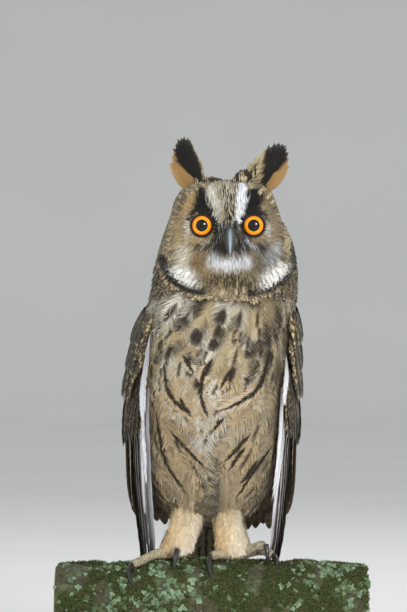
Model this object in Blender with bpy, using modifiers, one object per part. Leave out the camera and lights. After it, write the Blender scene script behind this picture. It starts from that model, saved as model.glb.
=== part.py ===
"""A long-eared owl, life size, standing upright on a short length of branch held by a plain display stand.

The owl faces -Y and its own left is +X. The origin is the middle of the underside of the stand's base.
Everything of the owl and the branch is sized in the perch frame, whose origin is the top of the branch.
"""

import math
import random
from typing import NamedTuple

import bmesh
import bpy
import numpy as np
from mathutils import Matrix, Vector

SEED = 11
GAP = 0.0003
SIDES = (("right", -1), ("left", 1))

# Stand and branch
BASE_WIDTH = 0.200
BASE_DEPTH = 0.150
BASE_THICKNESS = 0.014
BASE_EDGE = 0.003
ROD_RADIUS = 0.006
ROD_LENGTH = 0.026
ROD_OVERLENGTH = 0.010
ROD_SPACING = 0.110
ROD_SIDES = 20
PERCH_RADIUS = 0.040
PERCH_LENGTH = 0.260
PERCH_SETBACK = -0.008
PERCH_DROP_RIGHT = 0.006
PERCH_DROP_LEFT = 0.003
PERCH_TAPER = 0.0015
PERCH_KNOBS = 0.0007
PERCH_SIDES = 24
PERCH_RINGS = 12
PERCH_TOP = BASE_THICKNESS + GAP + ROD_LENGTH + GAP + 2 * PERCH_RADIUS


class Section(NamedTuple):
    """A level cut of the body: height above the perch, centre, half width, depth in front and behind."""

    height: float
    x: float
    y: float
    half: float
    front: float
    back: float


# Body, from the vent to the crown, and the heights where the neck is parted from torso and head
BODY_OUTLINE = (
    Section(0.0280, -0.0020, 0.0230, 0.0140, 0.0100, 0.0200),
    Section(0.0380, -0.0010, 0.0190, 0.0330, 0.0230, 0.0340),
    Section(0.0500, -0.0010, 0.0140, 0.0460, 0.0340, 0.0410),
    Section(0.0670, 0.0000, 0.0100, 0.0560, 0.0440, 0.0460),
    Section(0.0900, 0.0000, 0.0070, 0.0620, 0.0510, 0.0490),
    Section(0.1200, 0.0005, 0.0040, 0.0650, 0.0540, 0.0510),
    Section(0.1500, 0.0015, 0.0020, 0.0655, 0.0550, 0.0520),
    Section(0.1800, 0.0040, 0.0010, 0.0650, 0.0540, 0.0520),
    Section(0.2050, 0.0070, 0.0010, 0.0635, 0.0505, 0.0500),
    Section(0.2280, 0.0113, 0.0010, 0.0615, 0.0460, 0.0475),
    Section(0.2410, 0.0120, 0.0000, 0.0605, 0.0450, 0.0465),
    Section(0.2540, 0.0130, -0.0010, 0.0580, 0.0440, 0.0455),
    Section(0.2670, 0.0132, -0.0010, 0.0545, 0.0430, 0.0445),
    Section(0.2780, 0.0125, -0.0010, 0.0500, 0.0420, 0.0435),
    Section(0.2880, 0.0120, -0.0010, 0.0458, 0.0400, 0.0420),
    Section(0.3000, 0.0118, -0.0010, 0.0422, 0.0365, 0.0390),
    Section(0.3080, 0.0125, -0.0010, 0.0378, 0.0305, 0.0340),
    Section(0.3130, 0.0130, -0.0010, 0.0310, 0.0230, 0.0265),
    Section(0.3160, 0.0130, -0.0010, 0.0180, 0.0120, 0.0150),
)
BODY_POWER = 2.25
NECK_BASE = 0.2040
HEAD_BASE = 0.2270
TORSO_SIDES = 30
TORSO_ROWS = 16
NECK_ROWS = 4
HEAD_ROWS = 19
FACE_COLUMNS = 24
NAPE_COLUMNS = 10

# The sheet that the flight feathers hang on, which parts from the body below the flanks
MANTLE_OUTLINE = (
    Section(-0.0660, -0.0010, 0.0505, 0.0450, 0.0070, 0.0260),
    Section(-0.0420, -0.0010, 0.0470, 0.0485, 0.0085, 0.0300),
    Section(-0.0200, -0.0010, 0.0425, 0.0510, 0.0100, 0.0330),
    Section(0.0000, -0.0010, 0.0320, 0.0535, 0.0160, 0.0370),
    Section(0.0200, 0.0000, 0.0190, 0.0560, 0.0260, 0.0430),
    Section(0.0460, 0.0000, 0.0130, 0.0590, 0.0370, 0.0460),
    Section(0.0670, 0.0000, 0.0100, 0.0612, 0.0450, 0.0480),
    Section(0.0900, 0.0000, 0.0070, 0.0627, 0.0515, 0.0495),
) + BODY_OUTLINE[5:]

# Face: each bump is how far it stands forward, its place across and above the eyes, and its spread
FACE_CENTRE = 0.0138
EYE_RADIUS = 0.0115
EYE_SPREAD = 0.0215
EYE_HEIGHT = 0.2800
EYE_DEPTH = -0.0300
EYE_OPENING = 0.0093
EYE_FLARE = 0.0120
LID_THICKNESS = 0.0015
LID_SEAT = 0.7
DISC_HALF_WIDTH = 0.0480
DISC_HALF_HEIGHT = 0.0450
DISC_HEIGHT = 0.2710
RUFF_HEIGHT = 0.0045
RUFF_PLACE = 0.95
RUFF_SPREAD = 0.16
FACE_BUMPS = (
    (-0.0040, -EYE_SPREAD, 0.0, 0.0140, 0.0160),
    (-0.0040, EYE_SPREAD, 0.0, 0.0140, 0.0160),
    (0.0040, 0.0, 0.0040, 0.0090, 0.0300),
    (0.0030, 0.0, -0.0280, 0.0200, 0.0130),
)
FACE_TURN = 1.6

# Bill: y, height, half width and half depth down the curve
BILL_X = FACE_CENTRE + 0.0018
UPPER_BILL = (
    (-0.0360, 0.2750, 0.0050, 0.0046),
    (-0.0435, 0.2738, 0.0058, 0.0054),
    (-0.0500, 0.2700, 0.0056, 0.0056),
    (-0.0545, 0.2645, 0.0045, 0.0045),
    (-0.0562, 0.2598, 0.0031, 0.0031),
    (-0.0560, 0.2562, 0.0018, 0.0018),
    (-0.0552, 0.2540, 0.0006, 0.0006),
)
LOWER_BILL = (
    (-0.0360, 0.2640, 0.0040, 0.0030),
    (-0.0430, 0.2625, 0.0042, 0.0030),
    (-0.0480, 0.2600, 0.0036, 0.0024),
    (-0.0510, 0.2575, 0.0020, 0.0014),
)
NOSTRIL = (0.0056, -0.0485, 0.2705)
NOSTRIL_RADIUS = 0.0013

# Ear tufts: where the inner and outer feathers root on the crown, and where the inner, longest
# and outer feathers end, each as x and height
EAR_TUFTS = {
    "right": ((-0.0060, 0.3120), (-0.0180, 0.3085), (-0.0110, 0.3370), (-0.0250, 0.3550), (-0.0330, 0.3340)),
    "left": ((0.0300, 0.3110), (0.0460, 0.3080), (0.0330, 0.3340), (0.0600, 0.3500), (0.0640, 0.3320)),
}
TUFT_FEATHERS = 6
TUFT_PEAK = 0.55
TUFT_DEPTH = -0.0170
TUFT_HALF_WIDTH = 0.0048
TUFT_STEP = 0.00115
TUFT_BOW = 0.0020
TUFT_LEAN = 0.0040
TUFT_PAD = 0.0090
TUFT_PAD_SHAPE = (1.30, 0.80, 0.95)

# Plumage
VANE_THICKNESS = 0.0006
VANE_STEP = 0.00095


class Lay(NamedTuple):
    """How one wing feather lies: degrees round the body from the front, heights, and lifts off the body."""

    root_angle: float
    root_height: float
    tip_angle: float
    tip_height: float
    root_lift: float
    tip_lift: float


class Tier(NamedTuple):
    """A row of wing feathers, from the leading edge to the back.

    slope is how far a feather's front edge stands above its back edge, and droop how much lower the
    middle feathers end than a straight row would.
    """

    count: int
    first: Lay
    last: Lay
    half: float
    slope: float
    cells: int
    droop: float = 0.0


WING_TIERS = {
    "primary": Tier(
        10,
        Lay(49, 0.146, 61, -0.056, 0.0022, 0.0014),
        Lay(84, 0.120, 112, 0.018, 0.0022, 0.0014),
        0.0078, 0.0040, 4,
    ),
    "secondary": Tier(
        10,
        Lay(78, 0.130, 88, 0.048, 0.0038, 0.0062),
        Lay(148, 0.142, 158, 0.044, 0.0038, 0.0062),
        0.0115, 0.0032, 3, 0.008,
    ),
    "primary_covert": Tier(
        3,
        Lay(52, 0.165, 58, 0.106, 0.0026, 0.0064),
        Lay(72, 0.156, 80, 0.098, 0.0030, 0.0086),
        0.0088, 0.0018, 2,
    ),
    "greater_covert": Tier(
        7,
        Lay(81, 0.152, 88, 0.096, 0.0044, 0.0094),
        Lay(146, 0.160, 155, 0.100, 0.0040, 0.0094),
        0.0115, 0.0022, 2,
    ),
    "median_covert": Tier(
        5,
        Lay(66, 0.172, 73, 0.134, 0.0034, 0.0100),
        Lay(126, 0.182, 134, 0.144, 0.0030, 0.0100),
        0.0120, 0.0016, 2,
    ),
    "lesser_covert": Tier(
        5,
        Lay(58, 0.190, 63, 0.158, 0.0018, 0.0084),
        Lay(122, 0.202, 128, 0.168, 0.0016, 0.0088),
        0.0125, 0.0012, 2,
    ),
    "scapular": Tier(
        4,
        Lay(130, 0.202, 142, 0.142, 0.0012, 0.0106),
        Lay(156, 0.196, 163, 0.120, 0.0012, 0.0086),
        0.0110, 0.0022, 2,
    ),
}
PRIMARY_TAPER = 1.7
OUTER_PRIMARY_SHORT = 0.010
LEADING_SLOPE = 0.4
TIP_VARIATION = 0.0015
WING_FRONT_SHIFT = {"right": 0.0, "left": 6.0}

# The folded arm under the coverts: how far its outer face stands off the body at each height
ARM_LIFTS = (
    (0.1120, 0.0052),
    (0.1250, 0.0064),
    (0.1380, 0.0068),
    (0.1500, 0.0062),
    (0.1680, 0.0048),
    (0.1850, 0.0032),
    (0.2000, 0.0022),
    (0.2080, 0.0018),
)
ARM_FRONT = 46.0
ARM_BACK = 162.0
ARM_COLUMNS = 10
ARM_ROWS = 7
ARM_CLEARANCE = 0.0009
ARM_EDGE = 0.0014
ARM_ROUNDING = 3.0
ARM_EDGE_SHARE = 0.25
SHOULDER_START = 0.1700
SHOULDER_TURN = 24.0

# Tail: the middle of its root and of its tip, and each row of coverts' level and reach
TAIL_ROOT = Vector((-0.0020, 0.0500, 0.0640))
TAIL_TIP = Vector((-0.0060, 0.0600, -0.0420))
TAIL_PAIRS = 6
TAIL_TOP_LEVEL = 0.0030
TAIL_SPREAD_ROOT = 0.0016
TAIL_SPREAD_TIP = 0.0042
TAIL_INNER_HALF = 0.0048
TAIL_OUTER_HALF = 0.0095
TAIL_STEP_SHORT = 0.028
TAIL_START = 0.15
TAIL_CROWN = 0.0012
TAIL_COVERTS = ((0.0043, 0.52), (-0.0046, 0.66))
TAIL_COVERT_HALF = 0.0075
TAIL_CORE_PLACE = 0.24
TAIL_CORE_RADIUS = 0.0160
TAIL_CORE_SHAPE = (1.05, 0.42, 1.30)

# Legs: height, x, y, half width and half depth, from the foot up into the flank
LEG_STATIONS = {
    "right": (
        (0.0060, -0.0305, -0.0070, 0.0120, 0.0095),
        (0.0130, -0.0290, -0.0060, 0.0138, 0.0112),
        (0.0210, -0.0250, -0.0030, 0.0136, 0.0120),
        (0.0320, -0.0200, 0.0010, 0.0124, 0.0125),
        (0.0450, -0.0170, 0.0050, 0.0130, 0.0140),
        (0.0600, -0.0185, 0.0090, 0.0150, 0.0150),
    ),
    "left": (
        (0.0060, 0.0195, -0.0070, 0.0130, 0.0095),
        (0.0130, 0.0190, -0.0060, 0.0142, 0.0112),
        (0.0210, 0.0168, -0.0030, 0.0136, 0.0120),
        (0.0320, 0.0142, 0.0010, 0.0124, 0.0125),
        (0.0450, 0.0135, 0.0050, 0.0124, 0.0140),
        (0.0600, 0.0160, 0.0090, 0.0140, 0.0150),
    ),
}
LEG_SIDES = 16
LEG_ROWS = 8

# Feet: each joint is x, degrees round the branch towards the front, and height above the bark.
# A toe starts at the ankle and its claw goes on from its end.
ANKLES = {"right": (-0.0300, -3.0, 0.0050), "left": (0.0205, -3.0, 0.0050)}
TOES = {
    "right": {
        "outer": ((-0.0450, 6, 0.0065), (-0.0570, 17, 0.0048), (-0.0655, 26, 0.0042)),
        "inner": ((-0.0295, 9, 0.0085), (-0.0287, 19, 0.0115)),
        "hind": ((-0.0260, -20, 0.0048), (-0.0230, -36, 0.0043)),
        "reversed": ((-0.0410, -11, 0.0052), (-0.0510, -21, 0.0043)),
    },
    "left": {
        "inner": ((0.0110, 8, 0.0068), (0.0030, 16, 0.0070), (0.0002, 20, 0.0063)),
        "middle": ((0.0310, 4, 0.0105), (0.0400, 10, 0.0155), (0.0448, 13, 0.0168)),
        "outer": ((0.0340, -4, 0.0085), (0.0450, -2, 0.0090), (0.0515, 5, 0.0062)),
        "hind": ((0.0180, -20, 0.0048), (0.0160, -36, 0.0043)),
    },
}
CLAWS = {
    "right": {
        "outer": (
            (-0.0668, 29, 0.0041), (-0.0685, 39, 0.0042), (-0.0660, 51, 0.0028), (-0.0615, 61, 0.0013),
        ),
        "inner": (
            (-0.0286, 21.5, 0.0115), (-0.0292, 27, 0.0090), (-0.0305, 31.5, 0.0050), (-0.0320, 35.5, 0.0013),
        ),
        "hind": (
            (-0.0227, -39.5, 0.0043), (-0.0222, -49, 0.0044), (-0.0222, -58, 0.0030), (-0.0225, -66, 0.0013),
        ),
        "reversed": (
            (-0.0532, -24, 0.0043), (-0.0562, -33, 0.0043), (-0.0572, -43, 0.0030), (-0.0570, -51, 0.0013),
        ),
    },
    "left": {
        "inner": (
            (-0.0012, 23, 0.0062), (-0.0020, 32, 0.0054), (-0.0006, 43, 0.0034), (0.0022, 54, 0.0013),
        ),
        "middle": (
            (0.0462, 15.5, 0.0162), (0.0468, 19, 0.0118), (0.0466, 20, 0.0064), (0.0460, 19.5, 0.0013),
        ),
        "outer": (
            (0.0530, 8, 0.0058), (0.0545, 15, 0.0052), (0.0548, 22, 0.0032), (0.0540, 29, 0.0013),
        ),
        "hind": (
            (0.0157, -39.5, 0.0043), (0.0152, -49, 0.0044), (0.0152, -58, 0.0030), (0.0155, -66, 0.0013),
        ),
    },
}
TOE_RADIUS = 0.0052
TOE_THINNING = 0.25
TOE_SIDES = 8
CLAW_RADIUS = 0.0021
CLAW_THINNING = 0.85
CLAW_BULGE = 1.3
CLAW_SIDES = 6
FOOT_PAD = 0.0100
FOOT_PAD_SHAPE = (1.15, 1.0, 0.55)
FOOT_PAD_HEIGHT = 0.0030

# Each material is its colour, roughness and metallic value
FINISHES = {
    "stand": ((0.045, 0.030, 0.020), 0.45, 0.0),
    "rod": ((0.42, 0.33, 0.18), 0.35, 1.0),
    "bark": ((0.095, 0.110, 0.055), 0.95, 0.0),
    "face": ((0.46, 0.34, 0.21), 0.90, 0.0),
    "body": ((0.55, 0.42, 0.27), 0.90, 0.0),
    "wing": ((0.22, 0.15, 0.09), 0.85, 0.0),
    "tail": ((0.30, 0.22, 0.14), 0.85, 0.0),
    "tuft": ((0.06, 0.045, 0.035), 0.85, 0.0),
    "leg": ((0.72, 0.52, 0.30), 0.92, 0.0),
    "foot": ((0.55, 0.47, 0.34), 0.92, 0.0),
    "claw": ((0.03, 0.03, 0.035), 0.30, 0.0),
    "bill": ((0.05, 0.06, 0.065), 0.35, 0.0),
    "eye": ((0.90, 0.36, 0.02), 0.05, 0.0),
}


def finish_for(name):
    """The material of that name, made the first time it's asked for."""
    if name in bpy.data.materials:
        return bpy.data.materials[name]
    colour, roughness, metallic = FINISHES[name]
    made = bpy.data.materials.new(name)
    made.use_nodes = True
    shader = made.node_tree.nodes["Principled BSDF"]
    shader.inputs["Base Color"].default_value = (*colour, 1.0)
    shader.inputs["Roughness"].default_value = roughness
    shader.inputs["Metallic"].default_value = metallic
    made.diffuse_color = (*colour, 1.0)
    return made


def new_collection(name):
    """A collection linked to the scene."""
    made = bpy.data.collections.new(name)
    bpy.context.scene.collection.children.link(made)
    return made


def mesh_object(name, bm, collection, finish=None):
    """An object made from a bmesh, with its faces pointing out and its blunt edges shaded smooth."""
    bmesh.ops.recalc_face_normals(bm, faces=bm.faces[:])
    mesh = bpy.data.meshes.new(name)
    bm.to_mesh(mesh)
    bm.free()
    if finish:
        mesh.materials.append(finish_for(finish))
    mesh.shade_smooth()
    mesh.set_sharp_from_angle(angle=math.radians(40))
    obj = bpy.data.objects.new(name, mesh)
    collection.objects.link(obj)
    return obj


def smooth_row(rows, height):
    """The sizes at a height, on a smooth curve through the rows that doesn't overshoot them."""
    table = np.array(rows, float)
    heights, sizes = table[:, 0], table[:, 1:]
    if height <= heights[0]:
        return sizes[0]
    if height >= heights[-1]:
        return sizes[-1]
    slopes = np.diff(sizes, axis=0) / np.diff(heights)[:, None]
    tangents = np.zeros_like(sizes)
    same_way = slopes[:-1] * slopes[1:] > 0
    harmonic = 2 * slopes[:-1] * slopes[1:] / np.where(same_way, slopes[:-1] + slopes[1:], 1.0)
    tangents[1:-1] = np.where(same_way, harmonic, 0.0)
    tangents[0], tangents[-1] = slopes[0], slopes[-1]
    i = int(np.searchsorted(heights, height) - 1)
    step = heights[i + 1] - heights[i]
    t = (height - heights[i]) / step
    return (
        (1 + 2 * t) * (1 - t) ** 2 * sizes[i]
        + t * (1 - t) ** 2 * step * tangents[i]
        + t * t * (3 - 2 * t) * sizes[i + 1]
        + t * t * (t - 1) * step * tangents[i + 1]
    )


def ring_point(outline, height, degrees, out=0.0):
    """A point on an outline's cut, moved out; 0 degrees faces forward and 90 is the owl's left."""
    x, y, half, front, back = smooth_row(outline, height)
    sine, cosine = math.sin(math.radians(degrees)), math.cos(math.radians(degrees))
    depth = front if cosine > 0 else back
    reach = (abs(sine) ** BODY_POWER + abs(cosine) ** BODY_POWER) ** (-1 / BODY_POWER)
    return Vector((x + (half + out) * sine * reach, y - (depth + out) * cosine * reach, height))


def turns(count):
    """Evenly spaced degrees of a full turn."""
    return [360 * k / count for k in range(count)]


def loft(rings):
    """A closed bmesh through rings of equally many points."""
    bm = bmesh.new()
    loops = [[bm.verts.new(point) for point in ring] for ring in rings]
    count = len(loops[0])
    for low, high in zip(loops, loops[1:]):
        for i in range(count):
            j = (i + 1) % count
            bm.faces.new((low[i], low[j], high[j], high[i]))
    bm.faces.new(loops[0])
    bm.faces.new(loops[-1])
    bmesh.ops.triangulate(bm, faces=bm.faces[:])
    return bm


def ball(name, centre, radius, collection, finish=None, segments=18, rings=10, shape=(1, 1, 1)):
    """A ball or an ellipsoid whose poles lie along Y."""
    bm = bmesh.new()
    bmesh.ops.create_uvsphere(bm, u_segments=segments, v_segments=rings, radius=radius)
    bmesh.ops.rotate(bm, verts=bm.verts[:], matrix=Matrix.Rotation(math.pi / 2, 3, "X"))
    bmesh.ops.scale(bm, verts=bm.verts[:], vec=shape)
    bmesh.ops.translate(bm, verts=bm.verts[:], vec=centre)
    bmesh.ops.triangulate(bm, faces=bm.faces[:])
    return mesh_object(name, bm, collection, finish)


def tube(name, points, radii, sides, collection, finish=None):
    """A tapered tube with closed ends, bevelled on a curve and made a mesh."""
    curve = bpy.data.curves.new(name + "_line", "CURVE")
    curve.dimensions = "3D"
    curve.bevel_depth = 1.0
    curve.bevel_resolution = (sides - 4) // 2
    curve.use_fill_caps = True
    spline = curve.splines.new("POLY")
    spline.points.add(len(points) - 1)
    for target, point, radius in zip(spline.points, points, radii):
        target.co = (*point, 1.0)
        target.radius = radius
    line = bpy.data.objects.new(name + "_line", curve)
    collection.objects.link(line)
    bpy.context.view_layer.update()
    graph = bpy.context.evaluated_depsgraph_get()
    mesh = bpy.data.meshes.new_from_object(line.evaluated_get(graph))
    bpy.data.objects.remove(line)
    bm = bmesh.new()
    bm.from_mesh(mesh)
    bpy.data.meshes.remove(mesh)
    bmesh.ops.remove_doubles(bm, verts=bm.verts[:], dist=1e-6)
    bmesh.ops.triangulate(bm, faces=bm.faces[:])
    return mesh_object(name, bm, collection, finish)


def curve_through(points, steps=2):
    """Points on a smooth curve through the given ones."""
    ends = [2 * points[0] - points[1]] + points + [2 * points[-1] - points[-2]]
    found = []
    for before, start, end, after in zip(ends, ends[1:], ends[2:], ends[3:]):
        for k in range(steps):
            t = k / steps
            bend = 2 * before - 5 * start + 4 * end - after
            twist = 3 * start - before - 3 * end + after
            found.append(start + 0.5 * ((end - before) * t + bend * t**2 + twist * t**3))
    return found + [points[-1]]


def boolean(obj, operation, other, solver="EXACT"):
    """Applies one Boolean with an object or a collection to obj's mesh."""
    modifier = obj.modifiers.new(operation.lower(), "BOOLEAN")
    modifier.operation = operation
    modifier.solver = solver
    if isinstance(other, bpy.types.Collection):
        modifier.operand_type = "COLLECTION"
        modifier.collection = other
    else:
        modifier.object = other
    bpy.context.view_layer.update()
    graph = bpy.context.evaluated_depsgraph_get()
    mesh = bpy.data.meshes.new_from_object(obj.evaluated_get(graph))
    obj.modifiers.clear()
    obj.data = mesh


def cut(obj, cutters):
    """Cuts each cutter from obj and leaves only its largest closed surface."""
    for cutter in cutters:
        boolean(obj, "DIFFERENCE", cutter)
    keep_largest(obj)


def keep_largest(obj):
    """Leaves only the largest closed surface of obj."""
    bm = bmesh.new()
    bm.from_mesh(obj.data)
    left = set(bm.verts)
    shells = []
    while left:
        shell, edge = set(), [left.pop()]
        while edge:
            vert = edge.pop()
            shell.add(vert)
            near = {e.other_vert(vert) for e in vert.link_edges} & left
            left -= near
            edge.extend(near)
        shells.append(shell)
    largest = max(shells, key=len)
    bmesh.ops.delete(bm, geom=[v for v in bm.verts if v not in largest], context="VERTS")
    bm.to_mesh(obj.data)
    bm.free()


def fuse(obj, pieces):
    """Joins a collection of closed pieces to obj in one union, and removes them."""
    boolean(obj, "UNION", pieces, "MANIFOLD")
    for piece in list(pieces.objects):
        bpy.data.objects.remove(piece)
    bpy.data.collections.remove(pieces)
    keep_largest(obj)


def vane(name, place, cells, collection, columns=2, root=0.3, tip=0.25, widest=0.6):
    """One feather: a grid laid by place(across, along), split alike on both faces and given thickness.

    across runs from -1 to 1 and along from 0 at the root to 1 at the tip. root and tip are the shares
    of the full width there, and widest is where the full width is reached.
    """
    bm = bmesh.new()
    bmesh.ops.create_grid(bm, x_segments=columns, y_segments=cells, size=1.0)
    for vert in bm.verts:
        along = (vert.co.y + 1) / 2
        if along < widest:
            share = root + (1 - root) * math.sin(math.pi / 2 * along / widest)
        else:
            share = tip + (1 - tip) * math.cos(math.pi / 2 * (along - widest) / (1 - widest))
        vert.co = place(vert.co.x * share, along)
    bmesh.ops.triangulate(bm, faces=bm.faces[:], quad_method="FIXED")
    bmesh.ops.solidify(bm, geom=bm.faces[:], thickness=VANE_THICKNESS)
    return mesh_object(name, bm, collection)


# Branch and stand


def perch_point(x, degrees, out):
    """A point at a height above the bark; 0 degrees is the top and 90 the front."""
    share = x / (PERCH_LENGTH / 2)
    drop = (PERCH_DROP_RIGHT if x < 0 else PERCH_DROP_LEFT) * share * share
    turn = math.radians(degrees)
    knobs = math.sin(3 * turn + 5 * share) + math.sin(2 * turn - 8 * share) - math.sin(5 * share)
    radius = PERCH_RADIUS - PERCH_TAPER * share + PERCH_KNOBS * knobs + out
    across = PERCH_SETBACK - radius * math.sin(turn)
    return Vector((x, across, radius * math.cos(turn) - PERCH_RADIUS - drop))


def perch_loft(out=0.0):
    """The branch as a loft along X, grown by out."""
    length = PERCH_LENGTH + 2 * out
    places = np.linspace(-length / 2, length / 2, PERCH_RINGS)
    return loft([[perch_point(x, turn, out) for turn in turns(PERCH_SIDES)] for x in places])


def make_stand(collection, perch_cut):
    """The base, and the two rods with their tops cut to the bark."""
    bm = bmesh.new()
    bmesh.ops.create_cube(bm, size=1.0)
    bmesh.ops.scale(bm, verts=bm.verts[:], vec=(BASE_WIDTH, BASE_DEPTH, BASE_THICKNESS))
    base = mesh_object("stand_base", bm, collection, "stand")
    base.location = (0, 0, BASE_THICKNESS / 2)
    edge = base.modifiers.new("edge", "BEVEL")
    edge.width = BASE_EDGE
    edge.segments = 2
    length = ROD_LENGTH + ROD_OVERLENGTH
    for word, side in SIDES:
        bm = bmesh.new()
        bmesh.ops.create_cone(
            bm, cap_ends=True, segments=ROD_SIDES, radius1=ROD_RADIUS, radius2=ROD_RADIUS, depth=length
        )
        rod = mesh_object("stand_rod_" + word, bm, collection, "rod")
        foot = BASE_THICKNESS + GAP - PERCH_TOP
        place = (side * ROD_SPACING / 2, PERCH_SETBACK, foot + length / 2)
        rod.data.transform(Matrix.Translation(place))
        boolean(rod, "DIFFERENCE", perch_cut)
        rod.location = (0, 0, PERCH_TOP)


# Owl


def body_rings(low, high, rows, angles, out=0.0, relief=None):
    """Rings of the body between two heights."""
    rings = []
    for height in np.linspace(low, high, rows):
        ring = [ring_point(BODY_OUTLINE, height, degrees, out) for degrees in angles]
        if relief:
            ring = [relief(point, degrees) for point, degrees in zip(ring, angles)]
        rings.append(ring)
    return rings


def torso_loft(out=0.0):
    """The torso from the vent to the base of the neck."""
    low, high = BODY_OUTLINE[0].height - out, NECK_BASE + out
    return loft(body_rings(low, high, TORSO_ROWS, turns(TORSO_SIDES), out))


def face_relief(point, degrees):
    """Moves a point of the head to the face's form: two dishes in a raised ruff, and the brow's ridge."""
    facing = math.cos(math.radians(degrees))
    if facing <= 0.0:
        return point
    across, up = point.x - FACE_CENTRE, point.z - EYE_HEIGHT
    rim = math.hypot(across / DISC_HALF_WIDTH, (point.z - DISC_HEIGHT) / DISC_HALF_HEIGHT)
    forward = RUFF_HEIGHT * math.exp(-(((rim - RUFF_PLACE) / RUFF_SPREAD) ** 2))
    for height, x, z, width, tall in FACE_BUMPS:
        forward += height * math.exp(-(((across - x) / width) ** 2) - ((up - z) / tall) ** 2)
    return point - Vector((0, forward * min(1.0, facing * FACE_TURN), 0))


def head_loft(out=0.0):
    """The head from the neck to the crown, with more columns over the face than over the nape."""
    face = [-90 + 180 * k / FACE_COLUMNS for k in range(FACE_COLUMNS)]
    nape = [90 + 180 * k / NAPE_COLUMNS for k in range(NAPE_COLUMNS)]
    low, high = HEAD_BASE + GAP - out, BODY_OUTLINE[-1].height + out
    return loft(body_rings(low, high, HEAD_ROWS, face + nape, out, face_relief))


def eye_centre(side):
    """The middle of one eye."""
    return Vector((FACE_CENTRE + side * EYE_SPREAD, EYE_DEPTH, EYE_HEIGHT))


def lid_plane():
    """How far along Y the rim of the eye's opening lies."""
    return EYE_DEPTH - math.sqrt(EYE_RADIUS**2 - EYE_OPENING**2)


def flare(side, collection):
    """A cone that clears the face in front of one eye."""
    bm = bmesh.new()
    wide = EYE_OPENING + EYE_FLARE
    bmesh.ops.create_cone(
        bm, cap_ends=True, segments=16, radius1=wide, radius2=EYE_OPENING, depth=EYE_FLARE
    )
    bmesh.ops.rotate(bm, verts=bm.verts[:], matrix=Matrix.Rotation(-math.pi / 2, 3, "X"))
    centre = eye_centre(side)
    bmesh.ops.translate(bm, verts=bm.verts[:], vec=(centre.x, lid_plane() - EYE_FLARE / 2, centre.z))
    return mesh_object("flare_cut", bm, collection)


def lid(side, collection):
    """The ring of one eye's lids."""
    centre = eye_centre(side)
    bpy.ops.mesh.primitive_torus_add(
        major_segments=16,
        minor_segments=5,
        major_radius=EYE_OPENING + LID_THICKNESS * LID_SEAT,
        minor_radius=LID_THICKNESS,
    )
    ring = bpy.context.active_object
    for owner in list(ring.users_collection):
        owner.objects.unlink(ring)
    collection.objects.link(ring)
    turned = Matrix.Translation((centre.x, lid_plane(), centre.z)) @ Matrix.Rotation(math.pi / 2, 4, "X")
    ring.data.transform(turned)


def bill_loft(stations, sides, out=0.0):
    """A bent, tapered loft down the bill's stations, grown by out."""
    path = [Vector((BILL_X, y, z)) for y, z, _, _ in stations]
    rings = []
    for i, (_, _, half, deep) in enumerate(stations):
        ahead = path[min(i + 1, len(path) - 1)] - path[max(i - 1, 0)]
        up = Vector((1, 0, 0)).cross(ahead.normalized())
        ring = []
        for degrees in turns(sides):
            sideways = Vector((math.sin(math.radians(degrees)) * (half + out), 0, 0))
            ring.append(path[i] + sideways + up * math.cos(math.radians(degrees)) * (deep + out))
        rings.append(ring)
    first, last = (path[0] - path[1]).normalized() * out, (path[-1] - path[-2]).normalized() * out
    rings[0] = [point + first for point in rings[0]]
    rings[-1] = [point + last for point in rings[-1]]
    return loft(rings)


def make_bill(collection, cutters):
    """Upper and lower bill with the line of the mouth between them, and the nostrils."""
    upper = mesh_object("bill_upper", bill_loft(UPPER_BILL, 12), collection, "bill")
    across, depth, height = NOSTRIL
    for _, side in SIDES:
        centre = Vector((BILL_X + side * across, depth, height))
        boolean(upper, "DIFFERENCE", ball("nostril_cut", centre, NOSTRIL_RADIUS, cutters, None, 8, 6))
    lower = mesh_object("bill_lower", bill_loft(LOWER_BILL, 10), collection, "bill")
    upper_cut = mesh_object("upper_bill_cut", bill_loft(UPPER_BILL, 12, GAP), cutters)
    lower_cut = mesh_object("lower_bill_cut", bill_loft(LOWER_BILL, 10, GAP), cutters)
    cut(lower, [upper_cut])
    return [upper_cut, lower_cut]


def make_head(collection, cutters):
    """The head with its facial disc, the lids round the eyes, and the bill set into it."""
    head = mesh_object("head", head_loft(), collection, "face")
    lids = new_collection("lids")
    for _, side in SIDES:
        boolean(head, "DIFFERENCE", flare(side, cutters))
        lid(side, lids)
    fuse(head, lids)
    sockets = [ball("socket_cut", eye_centre(side), EYE_RADIUS + GAP, cutters) for _, side in SIDES]
    cut(head, sockets + make_bill(collection, cutters))
    for word, side in SIDES:
        ball("eye_" + word, eye_centre(side), EYE_RADIUS, collection, "eye")


def through_three(first, middle, last, share, at):
    """A point on the curve through three points, with the middle one reached at the share called at."""
    low = first.lerp(middle, share / at)
    high = middle.lerp(last, (share - at) / (1 - at))
    return low.lerp(high, share)


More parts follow.
